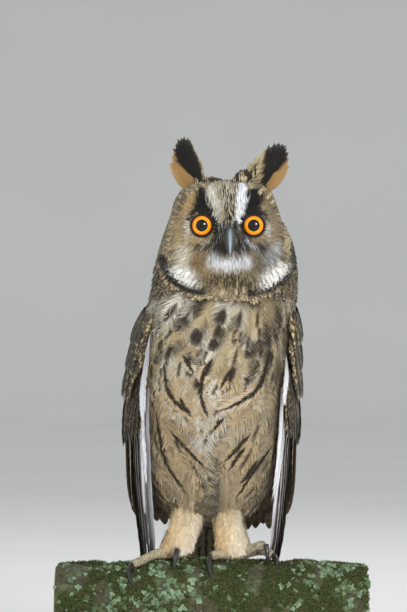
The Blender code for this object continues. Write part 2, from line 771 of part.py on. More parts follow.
def make_ear_tufts(collection, head_cut):
    """Each tuft is a fan of long feathers from a low pad on the crown."""
    for word, side in SIDES:
        inner, outer, low, peak, high = (Vector((x, TUFT_DEPTH, z)) for x, z in EAR_TUFTS[word])
        middle = inner.lerp(outer, 0.5)
        pad = ball("ear_tuft_" + word, middle, TUFT_PAD, collection, "tuft", 10, 7, TUFT_PAD_SHAPE)
        pieces = new_collection("tuft_feathers")
        for k in range(TUFT_FEATHERS):
            share = k / (TUFT_FEATHERS - 1)
            root = inner.lerp(outer, share)
            reach = through_three(low, peak, high, share, TUFT_PEAK) - root
            sideways = Vector((0, -1, 0)).cross(reach.normalized())
            level = TUFT_STEP * (k - TUFT_FEATHERS / 2)

            def place(across, along):
                bow = side * TUFT_BOW * share * math.sin(math.pi * along)
                point = root + reach * along + sideways * across * TUFT_HALF_WIDTH
                return point + Vector((bow, level + TUFT_LEAN * along * along, 0))

            vane(f"tuft_{word}_{k}", place, 3, pieces, root=0.35, tip=0.2)
        fuse(pad, pieces)
        cut(pad, [head_cut])


def wing_point(word, side, degrees, height, lift):
    """A point lifted off the sheet that the wing lies on, turned back by the wing's front shift."""
    front_share = max(0.0, 1 - (degrees - ARM_FRONT) / (ARM_BACK - ARM_FRONT))
    turned = degrees + WING_FRONT_SHIFT[word] * front_share
    return ring_point(MANTLE_OUTLINE, height, side * turned, lift)


def arm_loft(word, side):
    """The folded arm under the coverts, a slab that lies on the flank with a rounded shoulder."""
    top = ARM_LIFTS[-1][0]
    rings = []
    for height in np.linspace(ARM_LIFTS[0][0], top, ARM_ROWS):
        lift = np.interp(height, *zip(*ARM_LIFTS))
        rise = max(0.0, (height - SHOULDER_START) / (top - SHOULDER_START))
        front = ARM_FRONT + SHOULDER_TURN * rise**2
        inner, outer = [], []
        for k in range(ARM_COLUMNS + 1):
            share = k / ARM_COLUMNS
            degrees = front + share * (ARM_BACK - front)
            edge = math.sqrt(min(1.0, ARM_ROUNDING * share, ARM_ROUNDING * (1 - share)))
            thick = ARM_EDGE + (lift - ARM_EDGE) * max(edge, ARM_EDGE_SHARE)
            inner.append(wing_point(word, side, degrees, height, ARM_CLEARANCE))
            outer.append(wing_point(word, side, degrees, height, thick))
        rings.append(inner + outer[::-1])
    return loft(rings)


def feather_lay(name, tier, k, draw):
    """How the tier's k-th feather lies."""
    share = k / (tier.count - 1)
    lay = Lay(*(a + (b - a) * share for a, b in zip(tier.first, tier.last)))
    tip = lay.tip_height
    if name == "primary":
        tip = tier.first.tip_height + (tier.last.tip_height - tier.first.tip_height) * share**PRIMARY_TAPER
        tip += OUTER_PRIMARY_SHORT * (k == 0)
    tip += TIP_VARIATION * draw.uniform(-1, 1) - tier.droop * math.sin(math.pi * share)
    return lay._replace(tip_height=tip)


def make_wings(collection):
    """Both folded wings, each an arm with its tiers of feathers fused on."""
    for word, side in SIDES:
        draw = random.Random(SEED + side)
        wing = mesh_object("wing_" + word, arm_loft(word, side), collection, "wing")
        pieces = new_collection("wing_feathers")
        for name, tier in WING_TIERS.items():
            for k in range(tier.count):
                lay = feather_lay(name, tier, k, draw)
                slope = tier.slope * (LEADING_SLOPE if k == 0 else 1.0)

                def place(across, along):
                    height = lay.root_height + (lay.tip_height - lay.root_height) * along
                    _, _, half, front, back = smooth_row(MANTLE_OUTLINE, height)
                    spread = math.degrees(2 * tier.half / (half + max(front, back)))
                    degrees = lay.root_angle + (lay.tip_angle - lay.root_angle) * along + across * spread
                    lift = lay.root_lift + (lay.tip_lift - lay.root_lift) * math.sin(math.pi / 2 * along)
                    return wing_point(word, side, degrees, height, lift + slope * (1 - across) / 2)

                vane(f"{name}_{k}", place, tier.cells, pieces)
        fuse(wing, pieces)


def tail_place(root_x, tip_x, inner, outer, level, reach):
    """The placing function of a tail feather, at a level above the middle of the stack."""
    axis = TAIL_TIP - TAIL_ROOT
    back = Vector((1, 0, 0)).cross(axis).normalized()

    def place(across, along):
        run = TAIL_START + (reach - TAIL_START) * along
        width = outer if across * (root_x + tip_x) >= 0 else inner
        x = root_x + (tip_x - root_x) * run + across * width
        crown = TAIL_CROWN * (x / TAIL_CORE_RADIUS / 2) ** 2
        return TAIL_ROOT + axis * run + Vector((x, 0, 0)) + back * (level - crown)

    return place


def make_tail(collection, torso_cut):
    """The tail: a root with twelve overlapping feathers, and coverts above and below."""
    draw = random.Random(SEED)
    middle = TAIL_ROOT.lerp(TAIL_TIP, TAIL_CORE_PLACE)
    core = ball("tail", middle, TAIL_CORE_RADIUS, collection, "tail", 12, 8, TAIL_CORE_SHAPE)
    pieces = new_collection("tail_feathers")
    for k in range(TAIL_PAIRS):
        for _, side in SIDES:
            level = TAIL_TOP_LEVEL - VANE_STEP * (k + (1 if k or side < 0 else 0))
            reach = 1.0 - TAIL_STEP_SHORT * (k - draw.random() / 4)
            root_x = side * (0.5 + k) * TAIL_SPREAD_ROOT
            tip_x = side * (0.7 + k) * TAIL_SPREAD_TIP
            inner = TAIL_INNER_HALF if k else TAIL_OUTER_HALF
            place = tail_place(root_x, tip_x, inner, TAIL_OUTER_HALF, level, reach)
            vane(f"tail_feather_{side}_{k}", place, 3, pieces, 1, root=0.28, tip=0.35, widest=0.7)
    for level, reach in TAIL_COVERTS:
        for k in (-1, 0, 1):
            x = k * TAIL_COVERT_HALF
            raised = level if k else level + math.copysign(VANE_STEP, level)
            place = tail_place(x, 1.5 * x, TAIL_COVERT_HALF, TAIL_COVERT_HALF, raised, reach)
            vane(f"tail_covert_{k}", place, 2, pieces)
    fuse(core, pieces)
    cut(core, [torso_cut])


def leg_loft(word, out=0.0):
    """The feathered leg, grown by out."""
    stations = LEG_STATIONS[word]
    low, high = stations[0][0], stations[-1][0]
    rings = []
    for height in np.linspace(low, high, LEG_ROWS):
        x, y, half, deep = smooth_row(stations, height)
        level = height - out if height == low else height
        ring = []
        for degrees in turns(LEG_SIDES):
            across, ahead = math.sin(math.radians(degrees)), math.cos(math.radians(degrees))
            ring.append((x + (half + out) * across, y - (deep + out) * ahead, level))
        rings.append(ring)
    return loft(rings)


def thinning(count, radius, loss, bulge=1.0):
    """Radii that thin towards the end."""
    return [radius * (1.0 - loss * (k / (count - 1)) ** bulge) for k in range(count)]


def make_legs(collection, cutters, torso_cut, perch_cut):
    """Legs, feet and claws, with the feet resting on the bark."""
    for word, _ in SIDES:
        leg = mesh_object("leg_" + word, leg_loft(word), collection, "leg")
        cut(leg, [torso_cut])
        leg_cut = mesh_object("leg_cut", leg_loft(word, GAP), cutters)
        x, degrees, _ = ANKLES[word]
        middle = perch_point(x, degrees, FOOT_PAD_HEIGHT)
        foot = ball("foot_" + word, middle, FOOT_PAD, collection, "foot", 12, 7, FOOT_PAD_SHAPE)
        pieces = new_collection("toes")
        for toe, joints in TOES[word].items():
            path = curve_through([perch_point(*joint) for joint in (ANKLES[word], *joints)])
            radii = thinning(len(path), TOE_RADIUS, TOE_THINNING)
            tube("toe_" + toe, path, radii, TOE_SIDES, pieces)
        fuse(foot, pieces)
        cut(foot, [perch_cut, leg_cut])
        for toe, joints in CLAWS[word].items():
            path = curve_through([perch_point(*joint) for joint in joints])
            path[0] += (path[1] - path[0]).normalized() * GAP
            radii = thinning(len(path), CLAW_RADIUS, CLAW_THINNING, CLAW_BULGE)
            tube(f"claw_{word}_{toe}", path, radii, CLAW_SIDES, collection, "claw")


def main():
    """Builds the owl, its branch and the stand."""
    for obj in list(bpy.data.objects):
        bpy.data.objects.remove(obj)
    owl = new_collection("long_eared_owl")
    cutters = new_collection("cutters")
    perch_cut = mesh_object("perch_cut", perch_loft(GAP), cutters)
    torso_cut = mesh_object("torso_cut", torso_loft(GAP), cutters)
    head_cut = mesh_object("head_cut", head_loft(GAP), cutters)
    mesh_object("perch_branch", perch_loft(), owl, "bark")
    mesh_object("torso", torso_loft(), owl, "body")
    neck_rings = body_rings(NECK_BASE + GAP, HEAD_BASE, NECK_ROWS, turns(TORSO_SIDES))
    mesh_object("neck", loft(neck_rings), owl, "body")
    make_head(owl, cutters)
    make_ear_tufts(owl, head_cut)
    make_wings(owl)
    make_tail(owl, torso_cut)
    make_legs(owl, cutters, torso_cut, perch_cut)
    for obj in owl.objects:
        obj.location.z = PERCH_TOP
    make_stand(owl, perch_cut)
    for obj in cutters.objects:
        obj.hide_render = True
        obj.display_type = "WIRE"


main()
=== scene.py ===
"""The looks of a life-size long-eared owl that stands upright on a cut branch over a display stand.

Sizes are metres. The owl faces -Y and its own left is +X. Body sizes are in the perch frame, whose
origin is the top of the branch, and every piece is raised by PERCH_TOP when its mesh is made.
"""

from __future__ import annotations

import logging
import math
from collections.abc import Callable, Iterable, Sequence
from dataclasses import dataclass, field
from enum import Enum
from functools import partial

import bpy
import numpy as np
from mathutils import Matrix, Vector
from mathutils.bvhtree import BVHTree

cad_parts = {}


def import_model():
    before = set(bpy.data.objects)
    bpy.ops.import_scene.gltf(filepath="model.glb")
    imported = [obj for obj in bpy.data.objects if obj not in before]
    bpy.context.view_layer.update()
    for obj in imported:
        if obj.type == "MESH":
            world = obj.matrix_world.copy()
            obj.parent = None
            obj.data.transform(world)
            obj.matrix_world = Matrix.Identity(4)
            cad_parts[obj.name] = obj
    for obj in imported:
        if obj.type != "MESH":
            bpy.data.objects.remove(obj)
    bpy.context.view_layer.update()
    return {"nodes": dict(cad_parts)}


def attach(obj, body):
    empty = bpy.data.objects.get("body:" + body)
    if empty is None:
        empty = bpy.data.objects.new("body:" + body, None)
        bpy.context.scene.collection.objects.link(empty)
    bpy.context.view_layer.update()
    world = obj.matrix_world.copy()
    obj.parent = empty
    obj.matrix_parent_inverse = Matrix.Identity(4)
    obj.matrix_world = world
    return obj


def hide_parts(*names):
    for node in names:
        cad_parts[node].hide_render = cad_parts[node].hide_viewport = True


LOG = logging.getLogger("owl")
SEED = 5
PERCH_TOP = 0.1206

Array = np.ndarray
Colour = tuple[float, float, float]


def tone(red: int, green: int, blue: int) -> Colour:
    """Turns a display colour into scene colour.

    Args:
        red: Red from 0 to 255.
        green: Green from 0 to 255.
        blue: Blue from 0 to 255.

    Returns:
        The linear colour.
    """
    shares = (value / 255 for value in (red, green, blue))
    return tuple(s / 12.92 if s <= 0.04045 else ((s + 0.055) / 1.055) ** 2.4 for s in shares)


class Tint:
    """The plumage's own colours."""

    PALE = tone(214, 206, 188)
    GREY = tone(150, 148, 142)
    BROWN = tone(84, 70, 50)
    UMBER = tone(52, 42, 32)
    SOOT = tone(22, 19, 16)


class Side(Enum):
    """The owl's own sides, with the sign of their X."""

    RIGHT = -1
    LEFT = 1

    @property
    def word(self) -> str:
        """The side's name in the frame's node names."""
        return self.name.lower()


class Source(Enum):
    """The random sources, with what each adds to the seed."""

    COAT = 0
    DOWN = 40
    LONG = 45
    DISC = 60
    RUFF = 61
    CROWN = 62
    NAPE = 63
    CREST = 65
    BRISTLES = 66
    WING = 70
    TAIL = 80
    TUFT = 90
    FOOT = 100
    MOSS = 120
    LICHEN = 121

    def draw(self, more: int = 0) -> np.random.Generator:
        """Starts the source, or one of several that differ by a number."""
        return np.random.default_rng(SEED + self.value + more)


# Number work


def ease(low: float, high: float, value: Array) -> Array:
    """Goes smoothly from 0 at low to 1 at high, whichever of the two is greater."""
    share = np.clip((value - low) / (high - low), 0.0, 1.0)
    return share * share * (3 - 2 * share)


def unit(vectors: Array) -> Array:
    """Scales vectors to length 1."""
    return vectors / np.maximum(np.linalg.norm(vectors, axis=-1, keepdims=True), 1e-12)


def blend(under: Colour | Array, over: Colour | Array, mask: Array) -> Array:
    """Lays a colour over others by a mask."""
    return np.asarray(under) + np.subtract(over, under) * mask[..., None]


def ripple(points: Array, scale: float, seed: int) -> Array:
    """A soft random pattern from -1 to 1.

    Args:
        points: Places, any number by 3.
        scale: About how far apart the pattern's swells are.
        seed: Which pattern.

    Returns:
        One value a place.
    """
    draw = np.random.default_rng(seed)
    waves = unit(draw.normal(size=(7, 3))) * draw.uniform(0.7, 1.5, (7, 1)) * 2 * math.pi / scale
    phases = draw.uniform(0, 2 * math.pi, 7)
    return np.clip(np.sin(points @ waves.T + phases).sum(axis=-1) / 3.2, -1, 1)


def band(x: Array, z: Array, line: Sequence[tuple[float, ...]], half: float = 1.0,
         soft: float = 0.35) -> Array:
    """Masks a band round a line.

    Args:
        x: Places across.
        z: Places up.
        line: The line's corners, each with a half width of its own where it has a third number.
        half: The band's half width where the corners have none.
        soft: The share of the half width over which the edge fades.

    Returns:
        The mask from 0 to 1.
    """
    place = np.stack([x, z], axis=-1)
    nearest = np.full(x.shape, np.inf)
    for start, end in zip(line, line[1:]):
        first, along = np.array(start[:2]), np.subtract(end[:2], start[:2])
        share = np.clip(((place - first) @ along) / (along @ along), 0, 1)
        wide = start[2] + (end[2] - start[2]) * share if len(start) > 2 else half
        gap = np.linalg.norm(place - first - share[..., None] * along, axis=-1) / wide
        nearest = np.minimum(nearest, gap)
    return 1 - ease(1 - soft, 1 + soft, nearest)


def blot(x: Array, z: Array, at: tuple[float, float], wide: float, tall: float, turn: float = 0.0) -> Array:
    """Masks an oval patch.

    Args:
        x: Places across.
        z: Places up.
        at: The patch's middle.
        wide: Its half width.
        tall: Its half height.
        turn: Degrees that it is turned, counted from its upright towards -X.

    Returns:
        The mask from 0 to 1.
    """
    across, up = x - at[0], z - at[1]
    sine, cosine = math.sin(math.radians(turn)), math.cos(math.radians(turn))
    far = ((across * cosine + up * sine) / wide) ** 2 + ((up * cosine - across * sine) / tall) ** 2
    return np.exp(-(far**2))


# Shader work


class Wiring:
    """Adds and joins nodes in one node tree."""

    def __init__(self, tree: bpy.types.NodeTree) -> None:
        """Keeps the tree.

        Args:
            tree: A material's or a group's node tree.
        """
        self.tree = tree

    def node(self, kind: str, **settings: object) -> bpy.types.Node:
        """Adds a node.

        Args:
            kind: The node's type, without the leading ShaderNode.
            settings: Properties to set on it.

        Returns:
            The node.
        """
        made = self.tree.nodes.new("ShaderNode" + kind)
        for name, value in settings.items():
            setattr(made, name, value)
        return made

    def feed(self, socket: bpy.types.NodeSocket, value: object) -> None:
        """Joins a socket to another one, or sets its value.

        Args:
            socket: The socket.
            value: The other socket, or the value.
        """
        if isinstance(value, bpy.types.NodeSocket):
            self.tree.links.new(value, socket)
        elif isinstance(value, tuple) and len(value) == 3 and socket.type == "RGBA":
            socket.default_value = (*value, 1.0)
        else:
            socket.default_value = value

    def sum(self, operation: str, *values: object, clamp: bool = False) -> bpy.types.NodeSocket:
        """One step of arithmetic.

        Args:
            operation: The Math node's operation.
            values: Its numbers or sockets.
            clamp: Whether the result stays from 0 to 1.

        Returns:
            The result's socket.
        """
        made = self.node("Math", operation=operation, use_clamp=clamp)
        for socket, value in zip(made.inputs, values):
            self.feed(socket, value)
        return made.outputs[0]

    def ease(self, value: object, low: object, high: object, most: float = 1.0) -> bpy.types.NodeSocket:
        """Rises smoothly from 0 at low to the most at high.

        Args:
            value: The value that is read.
            low: Where the rise starts.
            high: Where it ends.
            most: What it rises to.

        Returns:
            The result's socket.
        """
        made = self.node("MapRange", interpolation_type="SMOOTHSTEP")
        for socket, given in zip(made.inputs[:3], (value, low, high)):
            self.feed(socket, given)
        return made.outputs[0] if most == 1.0 else self.sum("MULTIPLY", made.outputs[0], most)

    def fall(self, value: object, low: object, high: object) -> bpy.types.NodeSocket:
        """Falls smoothly from 1 at low to 0 at high."""
        return self.sum("SUBTRACT", 1.0, self.ease(value, low, high))

    def attribute(self, name: str, output: str) -> bpy.types.NodeSocket:
        """Reads a value that the mesh carries."""
        return self.node("Attribute", attribute_name=name).outputs[output]

    def place(self) -> bpy.types.NodeSocket:
        """Reads the place itself."""
        return self.node("NewGeometry").outputs["Position"]

    def parts(self, vector: bpy.types.NodeSocket) -> Sequence[bpy.types.NodeSocket]:
        """Splits a vector into its three numbers.

        Args:
            vector: The vector's socket.

        Returns:
            The numbers' sockets.
        """
        made = self.node("SeparateXYZ")
        self.feed(made.inputs[0], vector)
        return made.outputs

    def stretched(self, scale: tuple[float, float, float]) -> bpy.types.NodeSocket:
        """Reads the place, scaled along each axis.

        Args:
            scale: The three scales.

        Returns:
            The vector's socket.
        """
        made = self.node("Mapping")
        self.feed(made.inputs[0], self.place())
        made.inputs["Scale"].default_value = scale
        return made.outputs[0]

    def give(self, node: bpy.types.Node, **values: object) -> None:
        """Feeds a node's inputs.

        Args:
            node: The node.
            values: Its inputs by name, with spaces as underscores.
        """
        for name, value in values.items():
            self.feed(node.inputs[name.replace("_", " ")], value)

    def bump(self, shader: bpy.types.Node, height: bpy.types.NodeSocket, strength: float,
             depth: float) -> None:
        """Roughens a shader's surface.

        Args:
            shader: The shader's node.
            height: The height's socket.
            strength: How strongly it shows.
            depth: How deep a height of 1 is, in metres.
        """
        made = self.node("Bump")
        self.give(made, Strength=strength, Distance=depth, Height=height)
        self.feed(shader.inputs["Normal"], made.outputs[0])

    def mix(self, share: object, under: object, over: object, how: str = "MIX") -> bpy.types.NodeSocket:
        """Mixes two colours.

        Args:
            share: How much of the second one.
            under: The first colour.
            over: The second colour.
            how: The blend type.

        Returns:
            The colour's socket.
        """
        made = self.node("Mix", data_type="RGBA", blend_type=how)
        self.feed(made.inputs[0], share)
        self.feed(made.inputs[6], under)
        self.feed(made.inputs[7], over)
        return made.outputs[2]

    def noise(self, scale: object, detail: float = 2.0, vector: object = None) -> bpy.types.NodeSocket:
        """Noise over the surface.

        Args:
            scale: How fine it is, per metre.
            detail: How many finer layers it has.
            vector: Where it is read, or nothing for the place itself.

        Returns:
            The value's socket.
        """
        made = self.node("TexNoise")
        self.give(made, Vector=self.place() if vector is None else vector, Scale=scale, Detail=detail)
        return made.outputs[0]

    def group(self, tree: bpy.types.NodeTree, **values: object) -> bpy.types.Node:
        """Places a node group.

        Args:
            tree: The group.
            values: Its inputs by name, with spaces as underscores.

        Returns:
            The group's node.
        """
        made = self.node("Group", node_tree=tree)
        self.give(made, **values)
        return made


def new_material(name: str) -> tuple[bpy.types.Material, Wiring, bpy.types.Node]:
    """Starts a material.

    Args:
        name: The material's name.

    Returns:
        The material, its wiring and its shader.
    """
    material = bpy.data.materials.new(name)
    material.use_nodes = True
    return material, Wiring(material.node_tree), material.node_tree.nodes["Principled BSDF"]


def new_group(name: str, inputs: dict[str, float], outputs: Iterable[str]) -> tuple[Wiring, dict, dict]:
    """Starts a node group of values.

    Args:
        name: The group's name.
        inputs: Its inputs and their first values.
        outputs: Its outputs' names.

    Returns:
        The group's wiring, its input sockets and its output sockets.
    """
    tree = bpy.data.node_groups.new(name, "ShaderNodeTree")
    for word, value in inputs.items():
        tree.interface.new_socket(word, in_out="INPUT", socket_type="NodeSocketFloat").default_value = value
    for word in outputs:
        tree.interface.new_socket(word, in_out="OUTPUT", socket_type="NodeSocketFloat")
    wiring = Wiring(tree)
    given = {s.name: s for s in tree.nodes.new("NodeGroupInput").outputs if s.name}
    sent = {s.name: s for s in tree.nodes.new("NodeGroupOutput").inputs if s.name}
    return wiring, given, sent


@dataclass
class FeatherGroups:
    """The node groups that draw a feather's markings from its own across and along."""

    streak: bpy.types.NodeTree = field(init=False)
    bars: bpy.types.NodeTree = field(init=False)
    speckle: bpy.types.NodeTree = field(init=False)
    barbs: bpy.types.NodeTree = field(init=False)

    def __post_init__(self) -> None:
        """Builds each group once."""
        self.streak = self._streak()
        self.bars = self._bars()
        self.speckle = self._speckle()
        self.barbs = self._barbs()

    def _streak(self) -> bpy.types.NodeTree:
        """A dark streak down the shaft, with short side barbs of colour.

        Returns:
            The group.
        """
        wiring, given, sent = new_group("shaft streak", {"Across": 0, "Along": 0, "Share": 0.3}, ["Mask"])
        rough = wiring.sum("MULTIPLY_ADD", wiring.noise(700.0, 2.0), 0.24, -0.12)
        off = wiring.sum("ADD", wiring.sum("ABSOLUTE", given["Across"]), rough)
        along = given["Along"]
        swell = wiring.sum("MULTIPLY", wiring.ease(along, 0.42, 0.72), wiring.fall(along, 0.88, 1.04))
        width = wiring.sum("MULTIPLY", given["Share"], wiring.sum("MULTIPLY_ADD", swell, 0.75, 0.25))
        low, high = wiring.sum("SUBTRACT", width, 0.16), wiring.sum("ADD", width, 0.20)
        shown = wiring.sum("MULTIPLY", wiring.fall(off, low, high), wiring.ease(given["Share"], 0.02, 0.10))
        start, reach = wiring.ease(along, 0.30, 0.60), wiring.fall(along, 0.92, 1.06)
        wiring.feed(sent["Mask"], wiring.sum("MULTIPLY", shown, wiring.sum("MULTIPLY", reach, start)))
        return wiring.tree

    def _bars(self) -> bpy.types.NodeTree:
        """Dark bars across the feather.

        Returns:
            The group.
        """
        inputs = {"Across": 0, "Along": 0, "Fate": 0, "Count": 6, "Width": 0.5}
        wiring, given, sent = new_group("cross bars", inputs, ["Mask"])
        wave = wiring.sum("MULTIPLY", wiring.noise(260.0, 2.0), 1.6)
        swept = wiring.sum("MULTIPLY_ADD", wiring.sum("ABSOLUTE", given["Across"]), -0.5, wave)
        turn = wiring.sum("MULTIPLY_ADD", given["Along"], given["Count"], given["Fate"])
        slanted = wiring.sum("ADD", turn, wiring.sum("MULTIPLY", swept, 0.5))
        phase = wiring.sum("MULTIPLY", slanted, 2 * math.pi)
        wiring.feed(sent["Mask"], wiring.ease(wiring.sum("SINE", phase), given["Width"], 0.85))
        return wiring.tree

    def _speckle(self) -> bpy.types.NodeTree:
        """Fine dark vermiculation.

        Returns:
            The group.
        """
        inputs = {"Amount": 0.5, "Scale": 700, "Fate": 0}
        wiring, given, sent = new_group("vermiculation", inputs, ["Mask"])
        shift = wiring.node("VectorMath", operation="ADD")
        wiring.feed(shift.inputs[0], wiring.place())
        wiring.feed(shift.inputs[1], given["Fate"])
        grain = wiring.noise(given["Scale"], 2.5, shift.outputs[0])
        edge = wiring.sum("MULTIPLY_ADD", given["Amount"], -0.34, 0.70)
        mask = wiring.ease(grain, edge, wiring.sum("ADD", edge, 0.09))
        wiring.feed(sent["Mask"], wiring.sum("MULTIPLY", mask, wiring.ease(given["Amount"], 0.0, 0.15)))
        return wiring.tree

    def _barbs(self) -> bpy.types.NodeTree:
        """Fine slanting barbs, as a shade and as a height.

        Returns:
            The group.
        """
        inputs = {"Across": 0, "Along": 0, "Fate": 0, "Count": 30}
        wiring, given, sent = new_group("barbs", inputs, ["Shade", "Height"])
        slant = wiring.sum("MULTIPLY_ADD", wiring.sum("ABSOLUTE", given["Across"]), -0.35, given["Along"])
        drift = wiring.sum("MULTIPLY", wiring.noise(500.0, 1.0), 2.5)
        turn = wiring.sum("MULTIPLY_ADD", slant, given["Count"], wiring.sum("ADD", drift, given["Fate"]))
        wave = wiring.sum("SINE", wiring.sum("MULTIPLY", turn, 2 * math.pi))
        wiring.feed(sent["Height"], wave)
        wiring.feed(sent["Shade"], wiring.sum("MULTIPLY_ADD", wave, 0.5, 0.5))
        return wiring.tree


@dataclass(frozen=True)
class PlumageFinish:
    """How one kind of plumage is coloured over the tints that its mesh carries."""

    name: str
    mark: Colour = Tint.UMBER
    bar: Colour = Tint.BROWN
    bar_count: float = 6.0
    bar_width: float = 0.25
    speckle_scale: float = 700.0
    barb_count: float = 26.0
    barb_depth: float = 0.16
    root_shade: float = 0.42
    tip_pale: float = 0.18
    roughness: float = 0.78
    sheen: float = 0.12
    specular: float = 0.25
    unevenness: float = 0.22
    bump: tuple[float, float] = (0.25, 0.0003)

    def build(self, groups: FeatherGroups) -> bpy.types.Material:
        """Makes the material.

        Args:
            groups: The shared feather groups.

        Returns:
            The material.
        """
        material, wiring, shader = new_material(self.name)
        across, along, fate = wiring.parts(wiring.attribute("vane", "Vector"))
        share, bar_strength, speckled = wiring.parts(wiring.attribute("marks", "Vector"))
        place = {"Across": across, "Along": along}
        barbs = wiring.group(groups.barbs, **place, Fate=fate, Count=self.barb_count)
        streak = wiring.group(groups.streak, **place, Share=share).outputs[0]
        bars = wiring.group(groups.bars, **place, Fate=fate, Count=self.bar_count, Width=self.bar_width)
        speckle = wiring.group(groups.speckle, Amount=speckled, Scale=self.speckle_scale, Fate=fate)
        shade = wiring.sum("MULTIPLY_ADD", barbs.outputs["Shade"], self.barb_depth, 1 - self.barb_depth)
        root = wiring.sum("MULTIPLY_ADD", wiring.ease(along, 0.0, 0.55), self.root_shade, 1 - self.root_shade)
        uneven = wiring.sum("MULTIPLY_ADD", fate, self.unevenness, 1 - self.unevenness / 2)
        light = wiring.sum("MULTIPLY", wiring.sum("MULTIPLY", shade, root), uneven)
        barred = wiring.sum("MULTIPLY", bars.outputs[0], bar_strength)
        colour = wiring.mix(barred, wiring.attribute("tint", "Color"), self.bar)
        colour = wiring.mix(wiring.sum("MULTIPLY", speckle.outputs[0], 0.85), colour, self.mark)
        colour = wiring.mix(streak, colour, self.mark)
        colour = wiring.mix(wiring.ease(along, 0.80, 1.0, self.tip_pale), colour, Tint.PALE)
        grey = wiring.node("CombineXYZ")
        for socket in grey.inputs:
            wiring.feed(socket, light)
        colour = wiring.mix(1.0, colour, grey.outputs[0], "MULTIPLY")
        wiring.give(shader, Base_Color=colour, Roughness=self.roughness, Sheen_Weight=self.sheen,
                    Specular_IOR_Level=self.specular)
        wiring.bump(shader, barbs.outputs["Height"], *self.bump)
        return material


# Mesh work


@dataclass
class Patchwork:
    """Triangles gathered for one object, with the values that the plumage finishes read."""

    points: list[Array] = field(default_factory=list)
    faces: list[Array] = field(default_factory=list)
    tints: list[Array] = field(default_factory=list)
    vanes: list[Array] = field(default_factory=list)
    marks: list[Array] = field(default_factory=list)
    places: list[Array] = field(default_factory=list)
    count: int = 0

    def add(self, points: Array, faces: Array, tint: Array, vane: Array, marks: Array, place: Array) -> None:
        """Adds triangles.

        Args:
            points: Corners, in the perch frame.
            faces: Triangles of corner numbers.
            tint: A colour a corner.
            vane: Across, along and fate of each corner.
            marks: Streak share, bar strength and speckle of each corner.
            place: Each corner's place on the unwrap.
        """
        self.points.append(points)
        self.faces.append(faces + self.count)
        self.tints.append(np.broadcast_to(tint, (len(points), 3)))
        self.vanes.append(np.broadcast_to(vane, (len(points), 3)))
        self.marks.append(np.broadcast_to(marks, (len(points), 3)))
        self.places.append(place)
        self.count += len(points)

    def build(self, name: str, material: bpy.types.Material, smooth: bool = True) -> bpy.types.Object:
        """Makes the object.

        Args:
            name: Its name.
            material: Its material.
            smooth: Whether it's shaded smooth.

        Returns:
            The object.
        """
        points = np.concatenate(self.points) + (0, 0, PERCH_TOP)
        faces = np.concatenate(self.faces)
        mesh = bpy.data.meshes.new(name)
        mesh.vertices.add(len(points))
        mesh.loops.add(faces.size)
        mesh.polygons.add(len(faces))
        mesh.vertices.foreach_set("co", points.ravel().astype(np.float32))
        mesh.loops.foreach_set("vertex_index", faces.ravel().astype(np.int32))
        mesh.polygons.foreach_set("loop_start", np.arange(0, faces.size, 3, dtype=np.int32))
        mesh.polygons.foreach_set("use_smooth", np.full(len(faces), smooth))
        mesh.update(calc_edges=True)
        tints = np.clip(np.concatenate(self.tints), 0, 1)
        colour = mesh.attributes.new("tint", "FLOAT_COLOR", "POINT")
        colour.data.foreach_set("color", np.hstack([tints, np.ones((len(tints), 1))]).ravel())
        for word, rows in (("vane", self.vanes), ("marks", self.marks)):
            layer = mesh.attributes.new(word, "FLOAT_VECTOR", "POINT")
            layer.data.foreach_set("vector", np.concatenate(rows).ravel())
        unwrap = mesh.uv_layers.new(name="OFBake")
        unwrap.uv.foreach_set("vector", np.concatenate(self.places)[faces.ravel()].ravel())
        mesh.materials.append(material)
        made = bpy.data.objects.new(name, mesh)
        bpy.context.scene.collection.objects.link(made)
        LOG.info("%s: %d triangles", name, len(faces))
        return made


def settle(piece: bpy.types.Object, nodes: Sequence[str] = ()) -> bpy.types.Object:
    """Says what a piece rides on and which nodes it stands for.

    Args:
        piece: The piece.
        nodes: The frame's nodes that it replaces.

    Returns:
        The piece.
    """
    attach(piece, "root")
    if nodes:
        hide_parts(*nodes)
    return piece


def grid_faces(rows: int, columns: int, closed: bool = False) -> Array:
    """Triangles of a grid.

    Args:
        rows: Rows of points.
        columns: Points in a row.
        closed: Whether each row's end joins its start.

    Returns:
        The triangles.
    """
    lines = np.arange(rows - 1)[:, None] * columns
    steps = np.arange(columns if closed else columns - 1)[None, :]
    ahead = (steps + 1) % columns
    a, b = lines + steps, lines + ahead
    c, d = b + columns, a + columns
    return np.concatenate([np.stack([a, b, c], -1).reshape(-1, 3), np.stack([a, c, d], -1).reshape(-1, 3)])


# Forms


